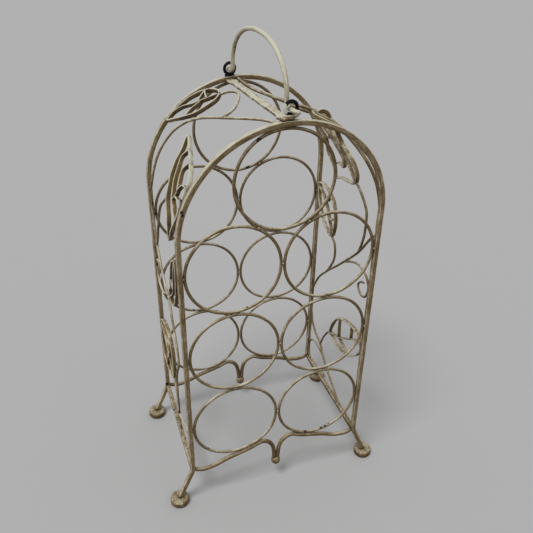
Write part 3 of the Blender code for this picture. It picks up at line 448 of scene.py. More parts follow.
def on_panel(side, point, out=0.0):
    """Where a point of the flat panel lies on the frame's side, raised outwards by out."""
    depth = side * point[0]
    spring = crown_height(depth) - FRAME_HALF_WIDTH
    if point[1] <= spring:
        return np.array((side * (FRAME_HALF_WIDTH + out), depth, point[1]))
    turn = (point[1] - spring) / FRAME_HALF_WIDTH
    return arch_point(turn if side > 0 else math.pi - turn, depth, out)


def flat_point(hundredths):
    across, up = np.array(hundredths) / 100
    return np.array((across * HALF_SPACING, UPPER_ROW_HEIGHT + up * RING_PITCH))


def flat_points(table):
    return [flat_point(hundredths) for hundredths in table]


# Materials


def fill(tree, made, inputs):
    """Gives each of these inputs of the node its number, colour or output socket."""
    for key, value in inputs.items():
        if isinstance(value, bpy.types.NodeSocket):
            tree.links.new(value, made.inputs[key])
        else:
            made.inputs[key].default_value = value


def node(tree, kind, inputs=(), **settings):
    made = tree.nodes.new(kind)
    for key, value in settings.items():
        setattr(made, key, value)
    fill(tree, made, dict(inputs))
    return made


def mixed(tree, factor, first, second):
    """A colour mix; each of first and second is a colour or an output socket."""
    inputs = {0: factor, 6: first, 7: second}
    return node(tree, "ShaderNodeMix", inputs, data_type="RGBA").outputs[2]


def maths(tree, operation, *values):
    return node(tree, "ShaderNodeMath", dict(enumerate(values)), operation=operation).outputs[0]


def times(tree, first, second):
    return maths(tree, "MULTIPLY", first, second)


def summed(tree, first, *others):
    for other in others:
        first = maths(tree, "ADD", first, other)
    return first


def weighed(tree, *pairs):
    """The sum of each value times its weight."""
    return summed(tree, *(times(tree, value, weight) for value, weight in pairs))


def swing(tree, value, amount):
    """How far the value lies from a half, times the amount."""
    return times(tree, maths(tree, "SUBTRACT", value, 0.5), amount)


def stepped(tree, value, step):
    """0 before the step's first number, 1 past its second, smooth between."""
    inputs = {"Value": value, "From Min": step[0], "From Max": step[1]}
    made = node(tree, "ShaderNodeMapRange", inputs, interpolation_type="SMOOTHSTEP")
    return made.outputs["Result"]


def noise_value(tree, place, kind, offset=None):
    if offset:
        moved = {0: place, 1: offset}
        place = node(tree, "ShaderNodeVectorMath", moved, operation="ADD").outputs[0]
    scale, detail, rough = NOISES[kind]
    inputs = {"Vector": place, "Scale": scale, "Detail": detail, "Roughness": rough}
    return node(tree, "ShaderNodeTexNoise", inputs).outputs["Fac"]


def attribute(tree, name, output="Fac"):
    return node(tree, "ShaderNodeAttribute", attribute_name=name).outputs[output]


def new_material(name):
    material = bpy.data.materials.new(name)
    material.use_nodes = True
    return material, material.node_tree, material.node_tree.nodes["Principled BSDF"]


def worn_paint(
    name, seed, cream, chips=0.0, speck=1.0, tan=TAN, light=CREAM, edges=None, edge_gain=0.34,
    patchy=1.1, blotch=0.0, deep=0.0075,
):
    """Cream paint dry-brushed over brown, worn at the welds. Tops and left faces come
    out lighter and undersides darker, partly from the cream and partly as painted light
    and shade, with painted shade in the corners.

    cream raises the share of light paint, chips that of bare black spots, speck the
    mottling and edge_gain the light paint on the edges of a bar or strip. patchy is how
    much the paint changes along a piece, blotch how much it is smeared and deep the reach
    of the painted shade in corners. The attribute of rubbed cream and painted highlight
    adds to the light paint."""
    material, tree, surface = new_material(name)
    where = node(tree, "ShaderNodeTexCoord")
    place = where.outputs["Object"]
    facing = node(tree, "ShaderNodeSeparateXYZ", {0: where.outputs["Normal"]}).outputs
    shift = (seed * 0.37, seed * 0.11, seed * 0.23)
    broad, fine, grain, ragged = (
        noise_value(tree, place, kind, shift) for kind in ("broad", "fine", "grain", "ragged")
    )
    smear = noise_value(tree, place, "smear", (seed + 0.2, 0.8, 0.1))

    # Brush marks run along each wire, bar and strip
    lay = attribute(tree, "lay", "Vector")
    stretch = node(tree, "ShaderNodeVectorMath", {0: lay, 1: BRUSH_STRETCH}, operation="MULTIPLY")
    brush = noise_value(tree, stretch.outputs[0], "brush", (seed, 0.3, 0.7))

    # Light paint by facing: tops and left faces lighter, undersides and right faces darker, partly
    # dry-brushed cream and partly painted light and shade from the lamp at the upper left front
    total = summed(
        tree, weighed(tree, *((facing[axis], share) for axis, share in FACING_PAINT_AND_LIGHT_SHARES.items())),
        swing(tree, broad, patchy), swing(tree, fine, SPECK_SWING * speck),
        swing(tree, brush, BRUSH_SWING), swing(tree, smear, blotch),
        cream, attribute(tree, "rub_and_highlight"),
    )
    if edges:
        parts = node(tree, "ShaderNodeSeparateXYZ", {0: lay}).outputs
        outward = maths(tree, "ABSOLUTE", parts["Y"])
        if edges == "bar":
            outward = maths(tree, "MINIMUM", outward, maths(tree, "ABSOLUTE", parts["Z"]))
        rim = stepped(tree, outward, EDGE_PLACES[edges])
        total = summed(tree, total, times(tree, rim, edge_gain))
    # Brown and dark where the total is low, which on the undersides is painted shade
    colour = tan
    for further, step in (
        (PALE, PALE_STEP), (light, LIGHT_STEP), (BROWN, BROWN_STEP), (DARK, DARK_STEP),
    ):
        colour = mixed(tree, stepped(tree, total, step), colour, further)

    # Painted shade in the corners and crevices, darkened where the AO node finds them
    corner = node(
        tree, "ShaderNodeAmbientOcclusion", {"Distance": deep}, samples=6, only_local=False
    )
    corner_shade = stepped(tree, corner.outputs["AO"], CORNER_SHADE_STEP)
    colour = mixed(tree, times(tree, corner_shade, CORNER_SHADE_STRENGTH), colour, DARK)

    # Wear round the welds, holes in the paint and knocks
    worn = attribute(tree, "worn")
    wear = times(tree, times(tree, worn, stepped(tree, ragged, RAGGED_STEP)), WEAR_STRENGTH)
    colour = mixed(tree, wear, colour, DARK)
    bare = times(tree, worn, noise_value(tree, place, "bare", (0.3, 0.2, 0.1)))
    bare = stepped(tree, bare, WELD_BARE_STEP)
    holes = noise_value(tree, place, "holes", (seed + 0.7, 0.4, 0.9))
    holes = stepped(tree, holes, (HOLE_STEP[0] - chips, HOLE_STEP[1] - chips))
    knocks = summed(tree, attribute(tree, "bare"), swing(tree, fine, KNOCK_SWING))
    for more in (holes, stepped(tree, knocks, KNOCK_STEP)):
        bare = maths(tree, "MAXIMUM", bare, more)
    colour = mixed(tree, bare, colour, CHIP)

    rough = summed(tree, weighed(tree, (fine, 0.25), (bare, -0.2)), 0.46)
    height = weighed(tree, (fine, 0.6), (grain, 0.25), (brush, 0.7), (bare, -0.8))
    inputs = {"Strength": 0.4, "Distance": 0.0007, "Height": height}
    bump = node(tree, "ShaderNodeBump", inputs).outputs[0]
    inputs = {"Base Color": colour, "Roughness": rough, "Specular IOR Level": 0.3, "Normal": bump}
    fill(tree, surface, inputs)
    return material


def black_eye_paint(name):
    """Black paint, rubbed through to cream where the bail has worn it."""
    material, tree, surface = new_material(name)
    fine = noise_value(tree, node(tree, "ShaderNodeTexCoord").outputs["Object"], "eye")
    rubbed = summed(tree, attribute(tree, "rub_and_highlight"), swing(tree, fine, RUB_SWING))
    rubbed = stepped(tree, rubbed, RUB_STEP)
    colour = mixed(tree, rubbed, mixed(tree, fine, BLACK, SOFT_BLACK), CREAM)
    rough = summed(tree, weighed(tree, (rubbed, 0.25), (fine, 0.2)), 0.28)
    inputs = {"Strength": 0.25, "Distance": 0.0004, "Height": fine}
    bump = node(tree, "ShaderNodeBump", inputs).outputs[0]
    inputs = {"Base Color": colour, "Roughness": rough, "Specular IOR Level": 0.1, "Normal": bump}
    fill(tree, surface, inputs)
    return material


# Mesh code


def fall_off(points, spots):
    """For each point, 1 on a spot falling to 0 a few spreads away."""
    value = np.zeros(len(points))
    for centre, spread in spots:
        distance = np.linalg.norm(points - np.array(centre), axis=1) / spread
        value = np.maximum(value, np.exp(-distance**2))
    return value


def hammered(points, hammer, seed):
    """Moves each point by smooth noise, as hammering and thick paint do."""
    amount, scale = hammer
    moved = points.copy()
    for index, point in enumerate(points):
        spot = Vector(point) * scale + Vector((seed, seed * 0.7, 0.0))
        moved[index] += np.array(noise.noise_vector(spot)) * amount
    return moved


def knocked(points):
    """Each bare spot that lies by these points, moved onto the nearest of them."""
    found = []
    for *spot, spread in np.array(BARE_SPOTS) / 10000:
        distance = np.linalg.norm(points - spot, axis=1)
        if distance.min() < BARE_SPOT_REACH:
            found.append((points[distance.argmin()], spread))
    return found


def near(points):
    """The welds that lie near these points, for wear."""
    low, high = points.min(axis=0) - NEAR, points.max(axis=0) + NEAR
    return [weld for weld in welds if np.all(weld[0] > low) and np.all(weld[0] < high)]


def linked(name, data):
    """A new object of this mesh, light or camera, in the scene."""
    made = bpy.data.objects.new(name, data)
    bpy.context.scene.collection.objects.link(made)
    return made


def piece(
    name, points, faces, material, nodes=(), body="rack", worn=None, rub_and_highlight=(), lay=None
):
    """A piece of the rack. The wear, and the rubbed cream and painted highlight, come for
    each point or as the spots that have them; lay is each point's place along and across its wire."""
    mesh = bpy.data.meshes.new(name)
    mesh.from_pydata([tuple(point) for point in points], [], faces)
    layer = mesh.attributes.new("lay", "FLOAT_VECTOR", "POINT")
    layer.data.foreach_set("vector", np.array(points if lay is None else lay, np.float32).ravel())
    worn = near(points) if worn is None else worn
    for attribute_name, spots in (("worn", worn), ("rub_and_highlight", rub_and_highlight), ("bare", knocked(points))):
        layer = mesh.attributes.new(attribute_name, "FLOAT", "POINT")
        values = spots if isinstance(spots, np.ndarray) else fall_off(points, spots)
        layer.data.foreach_set("value", values.astype(np.float32))
    mesh.polygons.foreach_set("use_smooth", [True] * len(mesh.polygons))
    mesh.materials.append(material)
    obj = linked(name, mesh)
    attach(obj, body)
    if nodes:
        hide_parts(*nodes)


def joined(points, faces, more_points, more_faces):
    """Both meshes as one."""
    moved = [tuple(corner + len(points) for corner in face) for face in more_faces]
    return np.concatenate([points, more_points]), faces + moved


def cross_directions(route, closed, steady=None):
    """Two directions across the route at each of its points, the first as near as can be
    to steady."""
    if closed:
        along = np.roll(route, -1, axis=0) - np.roll(route, 1, axis=0)
    else:
        along = np.gradient(route, axis=0)
    along /= np.linalg.norm(along, axis=1, keepdims=True)
    if steady is not None:
        first = steady - along * np.sum(steady * along, axis=1, keepdims=True)
        first /= np.linalg.norm(first, axis=1, keepdims=True)
        return first, np.cross(along, first)
    current = np.array((0.0, 0.0, 1.0)) if abs(along[0][2]) < 0.9 else np.array((1.0, 0.0, 0.0))
    first = np.zeros_like(route)
    for index, direction in enumerate(along):
        current = current - direction * current.dot(direction)
        current = current / np.linalg.norm(current)
        first[index] = current
    return first, np.cross(along, first)


def tube_faces(count, sides, closed=False, order=(0, 1, 2, 3)):
    """The faces of a tube of this many rings of points, with its ends unless closed. An
    order of corners other than the usual one turns the faces over."""
    faces = []
    for index in range(count if closed else count - 1):
        here, there = index * sides, (index + 1) % count * sides
        for side in range(sides):
            after = (side + 1) % sides
            corners = (here + side, here + after, there + after, there + side)
            faces.append(tuple(corners[corner] for corner in order))
    if not closed:
        caps = [tuple(range(sides))[::-1], tuple(range((count - 1) * sides, count * sides))]
        faces += caps if order[1] == 1 else [cap[::-1] for cap in caps]
    return faces


def swept(route, profile, closed=False, steady=None, scale=None):
    """The profile swept along the route: points, faces and each point's lay."""
    route = np.array(route)
    steady = None if steady is None else np.array(steady)
    first, second = cross_directions(route, closed, steady)
    scale = np.ones(len(route)) if scale is None else scale
    points, lay = [], []
    for index, travelled in enumerate(distances_along(route)):
        for across, over in profile:
            aside = first[index] * across + second[index] * over
            points.append(route[index] + scale[index] * aside)
            lay.append((travelled, across, over))
    faces = tube_faces(len(route), len(profile), closed)
    return np.array(points), faces, np.array(lay)


def round_profile(radius, sides):
    turns = [2 * math.pi * side / sides for side in range(sides)]
    return [(radius * math.cos(turn), radius * math.sin(turn)) for turn in turns]


def block_profile(width, height, corner, steps=3):
    """A rectangle with rounded corners and a point midway along each side."""
    middles = ((0, height / 2), (-width / 2, 0), (0, -height / 2), (width / 2, 0))
    profile = []
    for quarter, (sx, sy) in enumerate(((1, 1), (-1, 1), (-1, -1), (1, -1))):
        for step in range(steps + 1):
            turn = math.pi / 2 * (quarter + step / steps)
            profile.append((
                sx * (width / 2 - corner) + corner * math.cos(turn),
                sy * (height / 2 - corner) + corner * math.sin(turn),
            ))
        profile.append(middles[quarter])
    return profile


BAR_PROFILE = block_profile(BAR, BAR, BAR_CORNER)


def rounded_ends(route, radius):
    """Route and scales for a tube whose ends are domed."""
    route = np.array(route)
    travelled = distances_along(route)
    total = travelled[-1]
    domes = []
    for step in range(DOME_STEPS):
        turn = math.pi / 2 * (step + 0.35) / DOME_STEPS
        domes.append((radius * (1 - math.cos(turn)), math.sin(turn)))
    margin = radius * 1.3
    places = domes + [(radius, 1.0)]
    places += [(place, 1.0) for place in travelled if margin < place < total - margin]
    places += [(total - radius, 1.0)] + [(total - place, size) for place, size in reversed(domes)]
    spots, sizes = np.array(places).T
    smooth = [np.interp(spots, travelled, route[:, axis]) for axis in range(3)]
    return np.stack(smooth, axis=1), sizes


def swept_piece(
    name, route, profile, material, nodes, hammer, seed, shift, closed=False,
    steady=None, scale=None, body="rack", worn=None,
):
    """A piece swept along the route and hammered, its brush marks moved by shift."""
    points, faces, lay = swept(route, profile, closed, steady, scale)
    lay[:, 0] += shift
    piece(name, hammered(points, hammer, seed), faces, material, nodes, body, worn, lay=lay)


def wire(
    name, route, radius, material, nodes, hammer, seed, sides,
    body="rack", worn=None, tip=1.0,
):
    """A round wire with domed ends, drawn down to tip times its radius there."""
    route, scale = rounded_ends(route, radius)
    travelled = distances_along(route)
    from_end = np.minimum(travelled, travelled[-1] - travelled)
    scale = scale * np.interp(from_end, (0, TIP_LENGTH), (tip, 1.0))
    swept_piece(
        name, route, round_profile(radius, sides), material, nodes, hammer, seed, seed,
        scale=scale, body=body, worn=worn,
    )


def turned(profile, sides, order):
    """The profile of radii and heights turned about an upright axis: points and faces."""
    circle = round_profile(1.0, sides)
    points = [(radius * x, radius * y, height) for radius, height in profile for x, y in circle]
    return np.array(points), tube_faces(len(profile), sides, order=order)


def ball(centre, radii, seed, hammer, rows=10, sides=14):
    tilts = [math.pi * (row + 0.04) / (rows + 0.08) for row in range(rows + 1)]
    profile = [(math.sin(tilt), math.cos(tilt)) for tilt in tilts]
    points, faces = turned(profile, sides, (0, 3, 2, 1))
    return hammered(points * np.array(radii), hammer, seed) + np.array(centre), faces


# The weld places of the two frames. Those of the vine panels are added as they are made


def ring_places():
    """Name, middle and height of each of a frame's six equal rings."""
    places = []
    for row, row_name in enumerate(("lower", "middle", "upper")):
        height = LOWEST_ROW_HEIGHT + row * RING_PITCH
        for side, side_name in SIDES:
            places.append((f"{row_name}_{side_name}", side * RING_PITCH / 2, height))
    return places


def frame_welds():
    """Each place: its point, and the direction from one piece to the other."""
    found = []
    contact = RING_RADIUS + RING_WIRE / 2
    for end, _ in ENDS:
        y = end * HALF_SPACING
        for row in range(3):
            z = LOWEST_ROW_HEIGHT + row * RING_PITCH
            found.append(((0, y, z), (1, 0, 0)))
            for side, _ in SIDES:
                found.append(((side * (FRAME_HALF_WIDTH - BAR / 2), y, z), (side, 0, 0)))
                if row < 2:
                    found.append(((side * RING_PITCH / 2, y, z + RING_PITCH / 2), (0, 0, 1)))
        radius, height = top_ring(end)
        share = RING_RADIUS / (RING_RADIUS + radius)
        up = height - UPPER_ROW_HEIGHT
        turn = math.radians(RAIL_WELD_DEGREES)
        for side, _ in SIDES:
            across = side * RING_PITCH / 2
            spot = (across * (1 - share), y, UPPER_ROW_HEIGHT + up * share)
            found.append((spot, (-across, 0, up)))
            aside = side * (RING_PITCH / 2 - contact * math.cos(turn))
            spot = (aside, y, LOWEST_ROW_HEIGHT + contact * math.sin(turn))
            found.append((spot, (0, 0, -1)))
        found.append(((0, y, height + radius), (0, 0, 1)))
    return found


FRAME_WELDS = frame_welds()
welds = [(spot, FRAME_WELD_REACH) for spot, _ in FRAME_WELDS]
for side, _ in SIDES:
    for end, _ in ENDS:
        y = end * HALF_SPACING
        welds += [
            ((side * FRAME_HALF_WIDTH, end * LEG_FACE, TIE_HEIGHT), FRAME_WELD_REACH),
            ((side * (FRAME_HALF_WIDTH - BAR / 2), y, TIE_HEIGHT), CORNER_WELD_REACH),
            ((side * (FRAME_HALF_WIDTH + FOOT_SPREAD), y, FOOT_HEIGHT), CORNER_WELD_REACH),
        ]

FRAME_MATERIAL = worn_paint("frame_paint", 1.0, -0.19, edges="bar", patchy=0.85, blotch=0.5)
RING_MATERIAL = worn_paint("ring_paint", 2.0, -0.33, blotch=0.5)
RAIL_MATERIAL = worn_paint("rail_paint", 3.0, -0.50, light=GREYED, blotch=0.6)
TIE_MATERIAL = worn_paint(
    "tie_paint", 4.0, -0.74, chips=0.045, speck=2.2, light=GREYED, edges="bar", blotch=1.3
)
RIDGE_MATERIAL = worn_paint(
    "ridge_paint", 4.5, -0.21, speck=1.7, edges="bar", patchy=1.6, blotch=2.3
)
VINE_MATERIALS = {
    "left": worn_paint("left_vine_paint", 5.0, -0.13, chips=0.02, blotch=0.8),
    "right": worn_paint("right_vine_paint", 5.5, -0.50, chips=0.03, blotch=1.1),
}
LEAF_MATERIALS = {
    "left": worn_paint(
        "left_leaf_paint", 6.0, -0.55, tan=UMBER, edges="strip", edge_gain=1.15, blotch=0.8,
        deep=0.016,
    ),
    "right": worn_paint(
        "right_leaf_paint", 6.5, -0.48, chips=0.02, edges="strip", edge_gain=0.6, blotch=1.6,
        deep=0.009,
    ),
}
FOOT_MATERIAL = worn_paint(
    "foot_paint", 7.0, -0.62, chips=0.01, speck=2.0, light=GREYED, blotch=1.1
)
HANDLE_MATERIAL = worn_paint("handle_paint", 8.0, 0.22, tan=PALE, deep=0.012)
BEAD_MATERIAL = worn_paint("bead_paint", 9.0, 0.12, chips=0.02)
EYE_MATERIAL = black_eye_paint("eye_paint")


# Pieces


def add_arch_bars():
    for end, end_name in ENDS:
        y = end * HALF_SPACING
        knee = np.array((FRAME_HALF_WIDTH, y, TIE_HEIGHT))
        toe = np.array((FRAME_HALF_WIDTH + FOOT_SPREAD, y, FOOT_HEIGHT - LEG_SINK))
        half = [toe + (knee - toe) * k / FOOT_LEG_STEPS for k in range(FOOT_LEG_STEPS - 1)]
        half += [knee + (toe - knee) * KNEE_DROP_SHARE, knee + np.array((0, 0, KNEE_RISE))]
        leg = crown_height(y) - FRAME_HALF_WIDTH - TIE_HEIGHT - KNEE_RISE
        for step in range(1, LEG_STEPS):
            height = TIE_HEIGHT + KNEE_RISE + leg * step / LEG_STEPS
            half.append(np.array((FRAME_HALF_WIDTH, y, height)))
        arch = [arch_point(math.pi * step / ARCH_STEPS, y) for step in range(ARCH_STEPS + 1)]
        route = half + arch + [point * (-1, 1, 1) for point in reversed(half)]
        swept_piece(
            f"{end_name}_arch_iron", route, BAR_PROFILE, FRAME_MATERIAL,
            [f"{end_name}_arch_bar"], ARCH_HAMMER, 3.0 + end, end, steady=(0.0, 1.0, 0.0),
        )


def add_rings():
    for end, end_name in ENDS:
        y = end * HALF_SPACING
        radius, height = top_ring(end)
        places = [(name, x, z, RING_RADIUS) for name, x, z in ring_places()]
        places.append(("top", 0.0, height, radius))
        for index, (name, x, z, size) in enumerate(places):
            seed = 10.0 * index + 5.0 * end
            route = []
            for step in range(RING_STEPS):
                turn = 2 * math.pi * step / RING_STEPS
                spot = Vector((math.cos(turn), math.sin(turn), seed))
                bulge = noise.noise(spot * 0.8) * RING_BULGE * abs(math.sin(2 * turn))
                waver = noise.noise(spot * 1.3 + Vector((7, 0, 0))) * RING_WAVER
                reach = size + bulge
                route.append((x + reach * math.cos(turn), y + waver, z + reach * math.sin(turn)))
            name = f"{end_name}_{name}_ring"
            swept_piece(
                name + "_wire", route, round_profile(RING_WIRE / 2, 12), RING_MATERIAL,
                [name], RING_HAMMER, seed, seed, closed=True, steady=(0.0, 1.0, 0.0),
            )


def rail_route():
    """The left-hand rail's route, from the leg to the ball."""
    rise = LOWEST_ROW_HEIGHT - TIE_HEIGHT
    centre = np.array((-RING_PITCH / 2, 0, LOWEST_ROW_HEIGHT))
    contact = RING_RADIUS + RING_WIRE / 2 + RAIL_WIRE / 2 + GAP

    def at(table):
        return [np.array((x * RING_PITCH, 0, TIE_HEIGHT + z * rise)) for x, z in table]

    points = [np.array((BAR / 2 - FRAME_HALF_WIDTH - RAIL_ROOT_DEPTH, 0, TIE_HEIGHT))]
    points += at(RAIL_OUTER_SHARES)
    for degrees in RAIL_CONTACT_DEGREES:
        turn = math.radians(degrees)
        points.append(centre + contact * np.array((math.cos(turn), 0, math.sin(turn))))
    points += at(RAIL_INNER_SHARES)
    beside_middle = -RAIL_WIRE / 2 + GAP
    points.append(np.array((beside_middle, 0, FINIAL_HEIGHT + FINIAL_RADIUS * 0.7)))
    route = []
    for point in smooth_route(points, RAIL_STEPS):
        away = point - centre
        length = np.linalg.norm(away)
        if length < contact:
            point = centre + away / length * contact
        point[0] = min(point[0], beside_middle)
        route.append(point)
    return np.array(route)


def add_rails():
    shape = rail_route()
    for end, end_name in ENDS:
        for side, side_name in SIDES:
            route = shape * np.array((-side, 1, 1)) + np.array((0, end * HALF_SPACING, 0))
            name = f"{end_name}_{side_name}_rail"
            wire(
                name + "_wire", route, RAIL_WIRE / 2, RAIL_MATERIAL, [name],
                RAIL_HAMMER, end * 3.0 - side, 14,
            )


def add_feet():
    top = FOOT_HEIGHT - FOOT_HOLLOW
    profile = [(FOOT_CENTRE_RADIUS, top), (FOOT_SEAT_RADIUS * 0.6, top)]
    for step in range(FOOT_RIM_STEPS + 1):
        turn = math.pi / 2 * step / FOOT_RIM_STEPS
        profile.append((
            FOOT_SEAT_RADIUS + (FOOT_RADIUS - FOOT_SEAT_RADIUS) * math.sin(turn),
            FOOT_RIM_HEIGHT + (FOOT_HEIGHT - FOOT_RIM_HEIGHT) * math.cos(turn),
        ))
    profile += [
        (FOOT_RADIUS * 0.995, FOOT_SIDE_HEIGHT), (FOOT_BASE_RADIUS * 1.03, FOOT_HEEL_HEIGHT),
        (FOOT_BASE_RADIUS, 0.0), (FOOT_CENTRE_RADIUS, 0.0),
    ]
    for end, end_name in ENDS:
        for side, side_name in SIDES:
            name = f"{end_name}_{side_name}_foot"
            centre = (side * (FRAME_HALF_WIDTH + FOOT_SPREAD), end * HALF_SPACING, 0.0)
            points, faces = turned(profile, FOOT_SIDES, (1, 0, 3, 2))
            points = points + centre
            moved = hammered(points, FOOT_HAMMER, 5.0 * side + 9.0 * end)
            for axis in (0, 1):
                low, high = centre[axis] - FOOT_RADIUS, centre[axis] + FOOT_RADIUS
                moved[:, axis] = np.clip(moved[:, axis], low, high)
            moved[:, 2] = np.where(points[:, 2] < FOOT_FLAT_HEIGHT, points[:, 2], moved[:, 2])
            weld = (centre[0] - FOOT_WELD_SHIFT * side, centre[1], FOOT_HEIGHT)
            piece(
                name + "_button", moved, faces, FOOT_MATERIAL, [name],
                worn=[(weld, FOOT_WELD_REACH)],
            )


def add_finials():
    for end, end_name in ENDS:
        centre = (0.0, end * HALF_SPACING, FINIAL_HEIGHT)
        points, faces = ball(centre, (FINIAL_RADIUS,) * 3, 4.0 * end, FINIAL_HAMMER, 16, 24)
        weld = (0, centre[1], FINIAL_HEIGHT + FINIAL_RADIUS)
        piece(
            f"{end_name}_ball_drop", points, faces, RAIL_MATERIAL,
            [f"{end_name}_ball_finial"], worn=[(weld, CORNER_WELD_REACH)],
        )


def add_ties():
    for side, side_name in SIDES:
        depths = np.linspace(-LEG_FACE, LEG_FACE, TIE_STEPS)
        route = [(side * FRAME_HALF_WIDTH, y, TIE_HEIGHT) for y in depths]
        swept_piece(
            f"{side_name}_side_iron", route, BAR_PROFILE, TIE_MATERIAL,
            [f"{side_name}_side_bar"], TIE_HAMMER, 11.0 * side, side, steady=(1.0, 0.0, 0.0),
        )


def ridge_stations():
    """The ridge bar's middles from back to front, each with its width and thickness."""
    back = LEG_FACE
    back_height = crown_height(HALF_SPACING) - RIDGE_DROP_BACK
    front_height = crown_height(-HALF_SPACING) + RIDGE_RISE_FRONT
    seat_height = crown_height(-HALF_SPACING) + BAR / 2 + GAP + RIDGE_SEAT_THICKNESS / 2
    foot = RIDGE_END_LENGTH - LEG_FACE
    wide, thick, seat = RIDGE_END_WIDTH, RIDGE_THICKNESS, RIDGE_SEAT_THICKNESS
    rows = [
        (back, back_height, wide * 0.96, thick),
        (back - RIDGE_END_LENGTH * 0.45, back_height, wide, thick),
        (back - RIDGE_END_LENGTH, back_height, RIDGE_WIDTH, thick),
        (0.0, (back_height + front_height) / 2, RIDGE_WIDTH, thick),
        (foot, front_height, RIDGE_WIDTH, thick),
        (foot - RIDGE_END_LENGTH * 0.45, front_height, wide, thick),
        (GAP - LEG_FACE, seat_height, wide, seat),
        (-HALF_SPACING - BAR * 0.49, seat_height, wide * 0.9, seat),
    ]
    slant = (RIDGE_SHIFT_BACK - RIDGE_SHIFT_FRONT) / FRAME_SPACING
    middle = (RIDGE_SHIFT_BACK + RIDGE_SHIFT_FRONT) / 2
    return [(middle + slant * depth, depth, *rest) for depth, *rest in rows]


def add_ridge_bar():
    stations = np.array(ridge_stations())
    depths = np.linspace(stations[0][1], stations[-1][1], RIDGE_STEPS)
    x, z, widths, heights = (
        np.interp(-depths, -stations[:, 1], stations[:, column]) for column in (0, 2, 3, 4)
    )
    unit = block_profile(1.0, 1.0, RIDGE_CORNER_SHARE)
    points, lay = [], []
    for place, width, height in zip(np.stack([x, depths, z], axis=1), widths, heights):
        for across, up in unit:
            points.append(place + np.array((across * width, 0.0, up * height)))
            lay.append((place[1], across * BAR, up * BAR))
    piece(
        "ridge_iron", hammered(np.array(points), RIDGE_HAMMER, 21.0),
        tube_faces(RIDGE_STEPS, len(unit)), RIDGE_MATERIAL, ["ridge_bar"],
        lay=np.array(lay),
    )


def eye_centres():
    """The middles of the front and back eye."""
    rise = GAP + EYE_RADIUS + EYE_WIRE / 2
    *_, seat, _, thickness = ridge_stations()[-1]
    front = np.array((CROWN_SHIFT_FRONT, -HALF_SPACING, seat + thickness / 2 + rise))
    turn = math.pi / 2
    for _ in range(8):
        turn += (arch_point(turn, HALF_SPACING, BAR / 2)[0] - CROWN_SHIFT_BACK) / FRAME_HALF_WIDTH
    top = arch_point(turn, HALF_SPACING, BAR / 2)[2]
    return front, np.array((CROWN_SHIFT_BACK, HALF_SPACING, top + rise))


def handle_route():
    """The bail's route from hook to hook, about its pivot."""
    through = HALF_SPACING + EYE_WIRE / 2 + HANDLE_ROD / 2 + GAP
    start = HANDLE_HALF_SPAN + HANDLE_BEND
    hook_turn = math.radians(HANDLE_HOOK_DEGREES)
    quarter = [math.radians(90 / HOOK_STEPS * step) for step in range(HOOK_STEPS + 1)]
    half = []
    for turn in reversed(quarter):
        aside = HANDLE_HOOK * (1 - math.cos(turn))
        y = -through - HANDLE_HOOK * math.sin(turn)
        half.append((aside * math.cos(hook_turn), y, aside * math.sin(hook_turn)))
    for turn in quarter:
        half.append((0, -start + HANDLE_BEND * math.sin(turn), HANDLE_BEND * (1 - math.cos(turn))))
    power = 2 / HANDLE_FULLNESS
    height = HANDLE_RISE - HANDLE_BEND
    route = list(half)
    for step in range(1, HANDLE_STEPS):
        turn = math.pi * step / HANDLE_STEPS
        across = math.copysign(abs(math.cos(turn)) ** power, math.cos(turn))
        up = HANDLE_BEND + height * math.sin(turn) ** power
        route.append((0, -HANDLE_HALF_SPAN * across, up))
    return np.array(route + [(x, -y, z) for x, y, z in reversed(half)])


def add_handle():
    """The bail and the two eyes that it swings in."""
    front, back = eye_centres()
    tilt = Vector((0, 1, 0)).rotation_difference(Vector(back - front)).to_matrix()
    drop = EYE_RADIUS - EYE_WIRE / 2 - HANDLE_ROD / 2 - GAP
    pivot = (front + back) / 2 - np.array((0, 0, drop))
    route = np.array([np.array(tilt @ Vector(point)) + pivot for point in handle_route()])
    wire(
        "bail_rod", route, HANDLE_ROD / 2 - HANDLE_PAINT, HANDLE_MATERIAL,
        ["bail_handle"], WIRE_HAMMER, 31.0, 16, body="bail", worn=(), tip=HANDLE_TIP,
    )
    for centre, name in ((front, "front"), (back, "back")):
        loop = []
        for across, up in round_profile(EYE_RADIUS, EYE_STEPS):
            loop.append(centre + np.array(tilt @ Vector((across, 0, up))))
        points, faces, _ = swept(
            loop, round_profile(EYE_WIRE / 2, 16), closed=True, steady=tilt @ Vector((0, 1, 0))
        )
        points = hammered(points, EYE_HAMMER, 2.0)
        rubbed = np.zeros(len(points))
        if name == "front":
            away = points - centre
            rubbed = (-away[:, 0] * 1.3 - abs(away[:, 2] + 0.001) * 0.7) / EYE_RADIUS
            rubbed = np.clip(rubbed - 0.12, 0, 1)
        piece(
            f"{name}_eye_ring", points, faces, EYE_MATERIAL,
            [f"{name}_handle_eye"], worn=(), rub_and_highlight=rubbed,
        )


def add_eye_lumps():
    """Filler and weld between each eye and the arch."""
    front, back = eye_centres()
    for centre, name, radii, material in (
        (front, "front", FRONT_LUMP, BEAD_MATERIAL), (back, "back", BACK_LUMP, EYE_MATERIAL),
    ):
        foot = centre - np.array((0, 0, EYE_RADIUS + EYE_WIRE / 2 - LUMP_SINK))
        points, faces = ball(foot, radii, 3.0, LUMP_HAMMER, 14, 22)
        piece(f"{name}_eye_lump", points, faces, material, worn=())


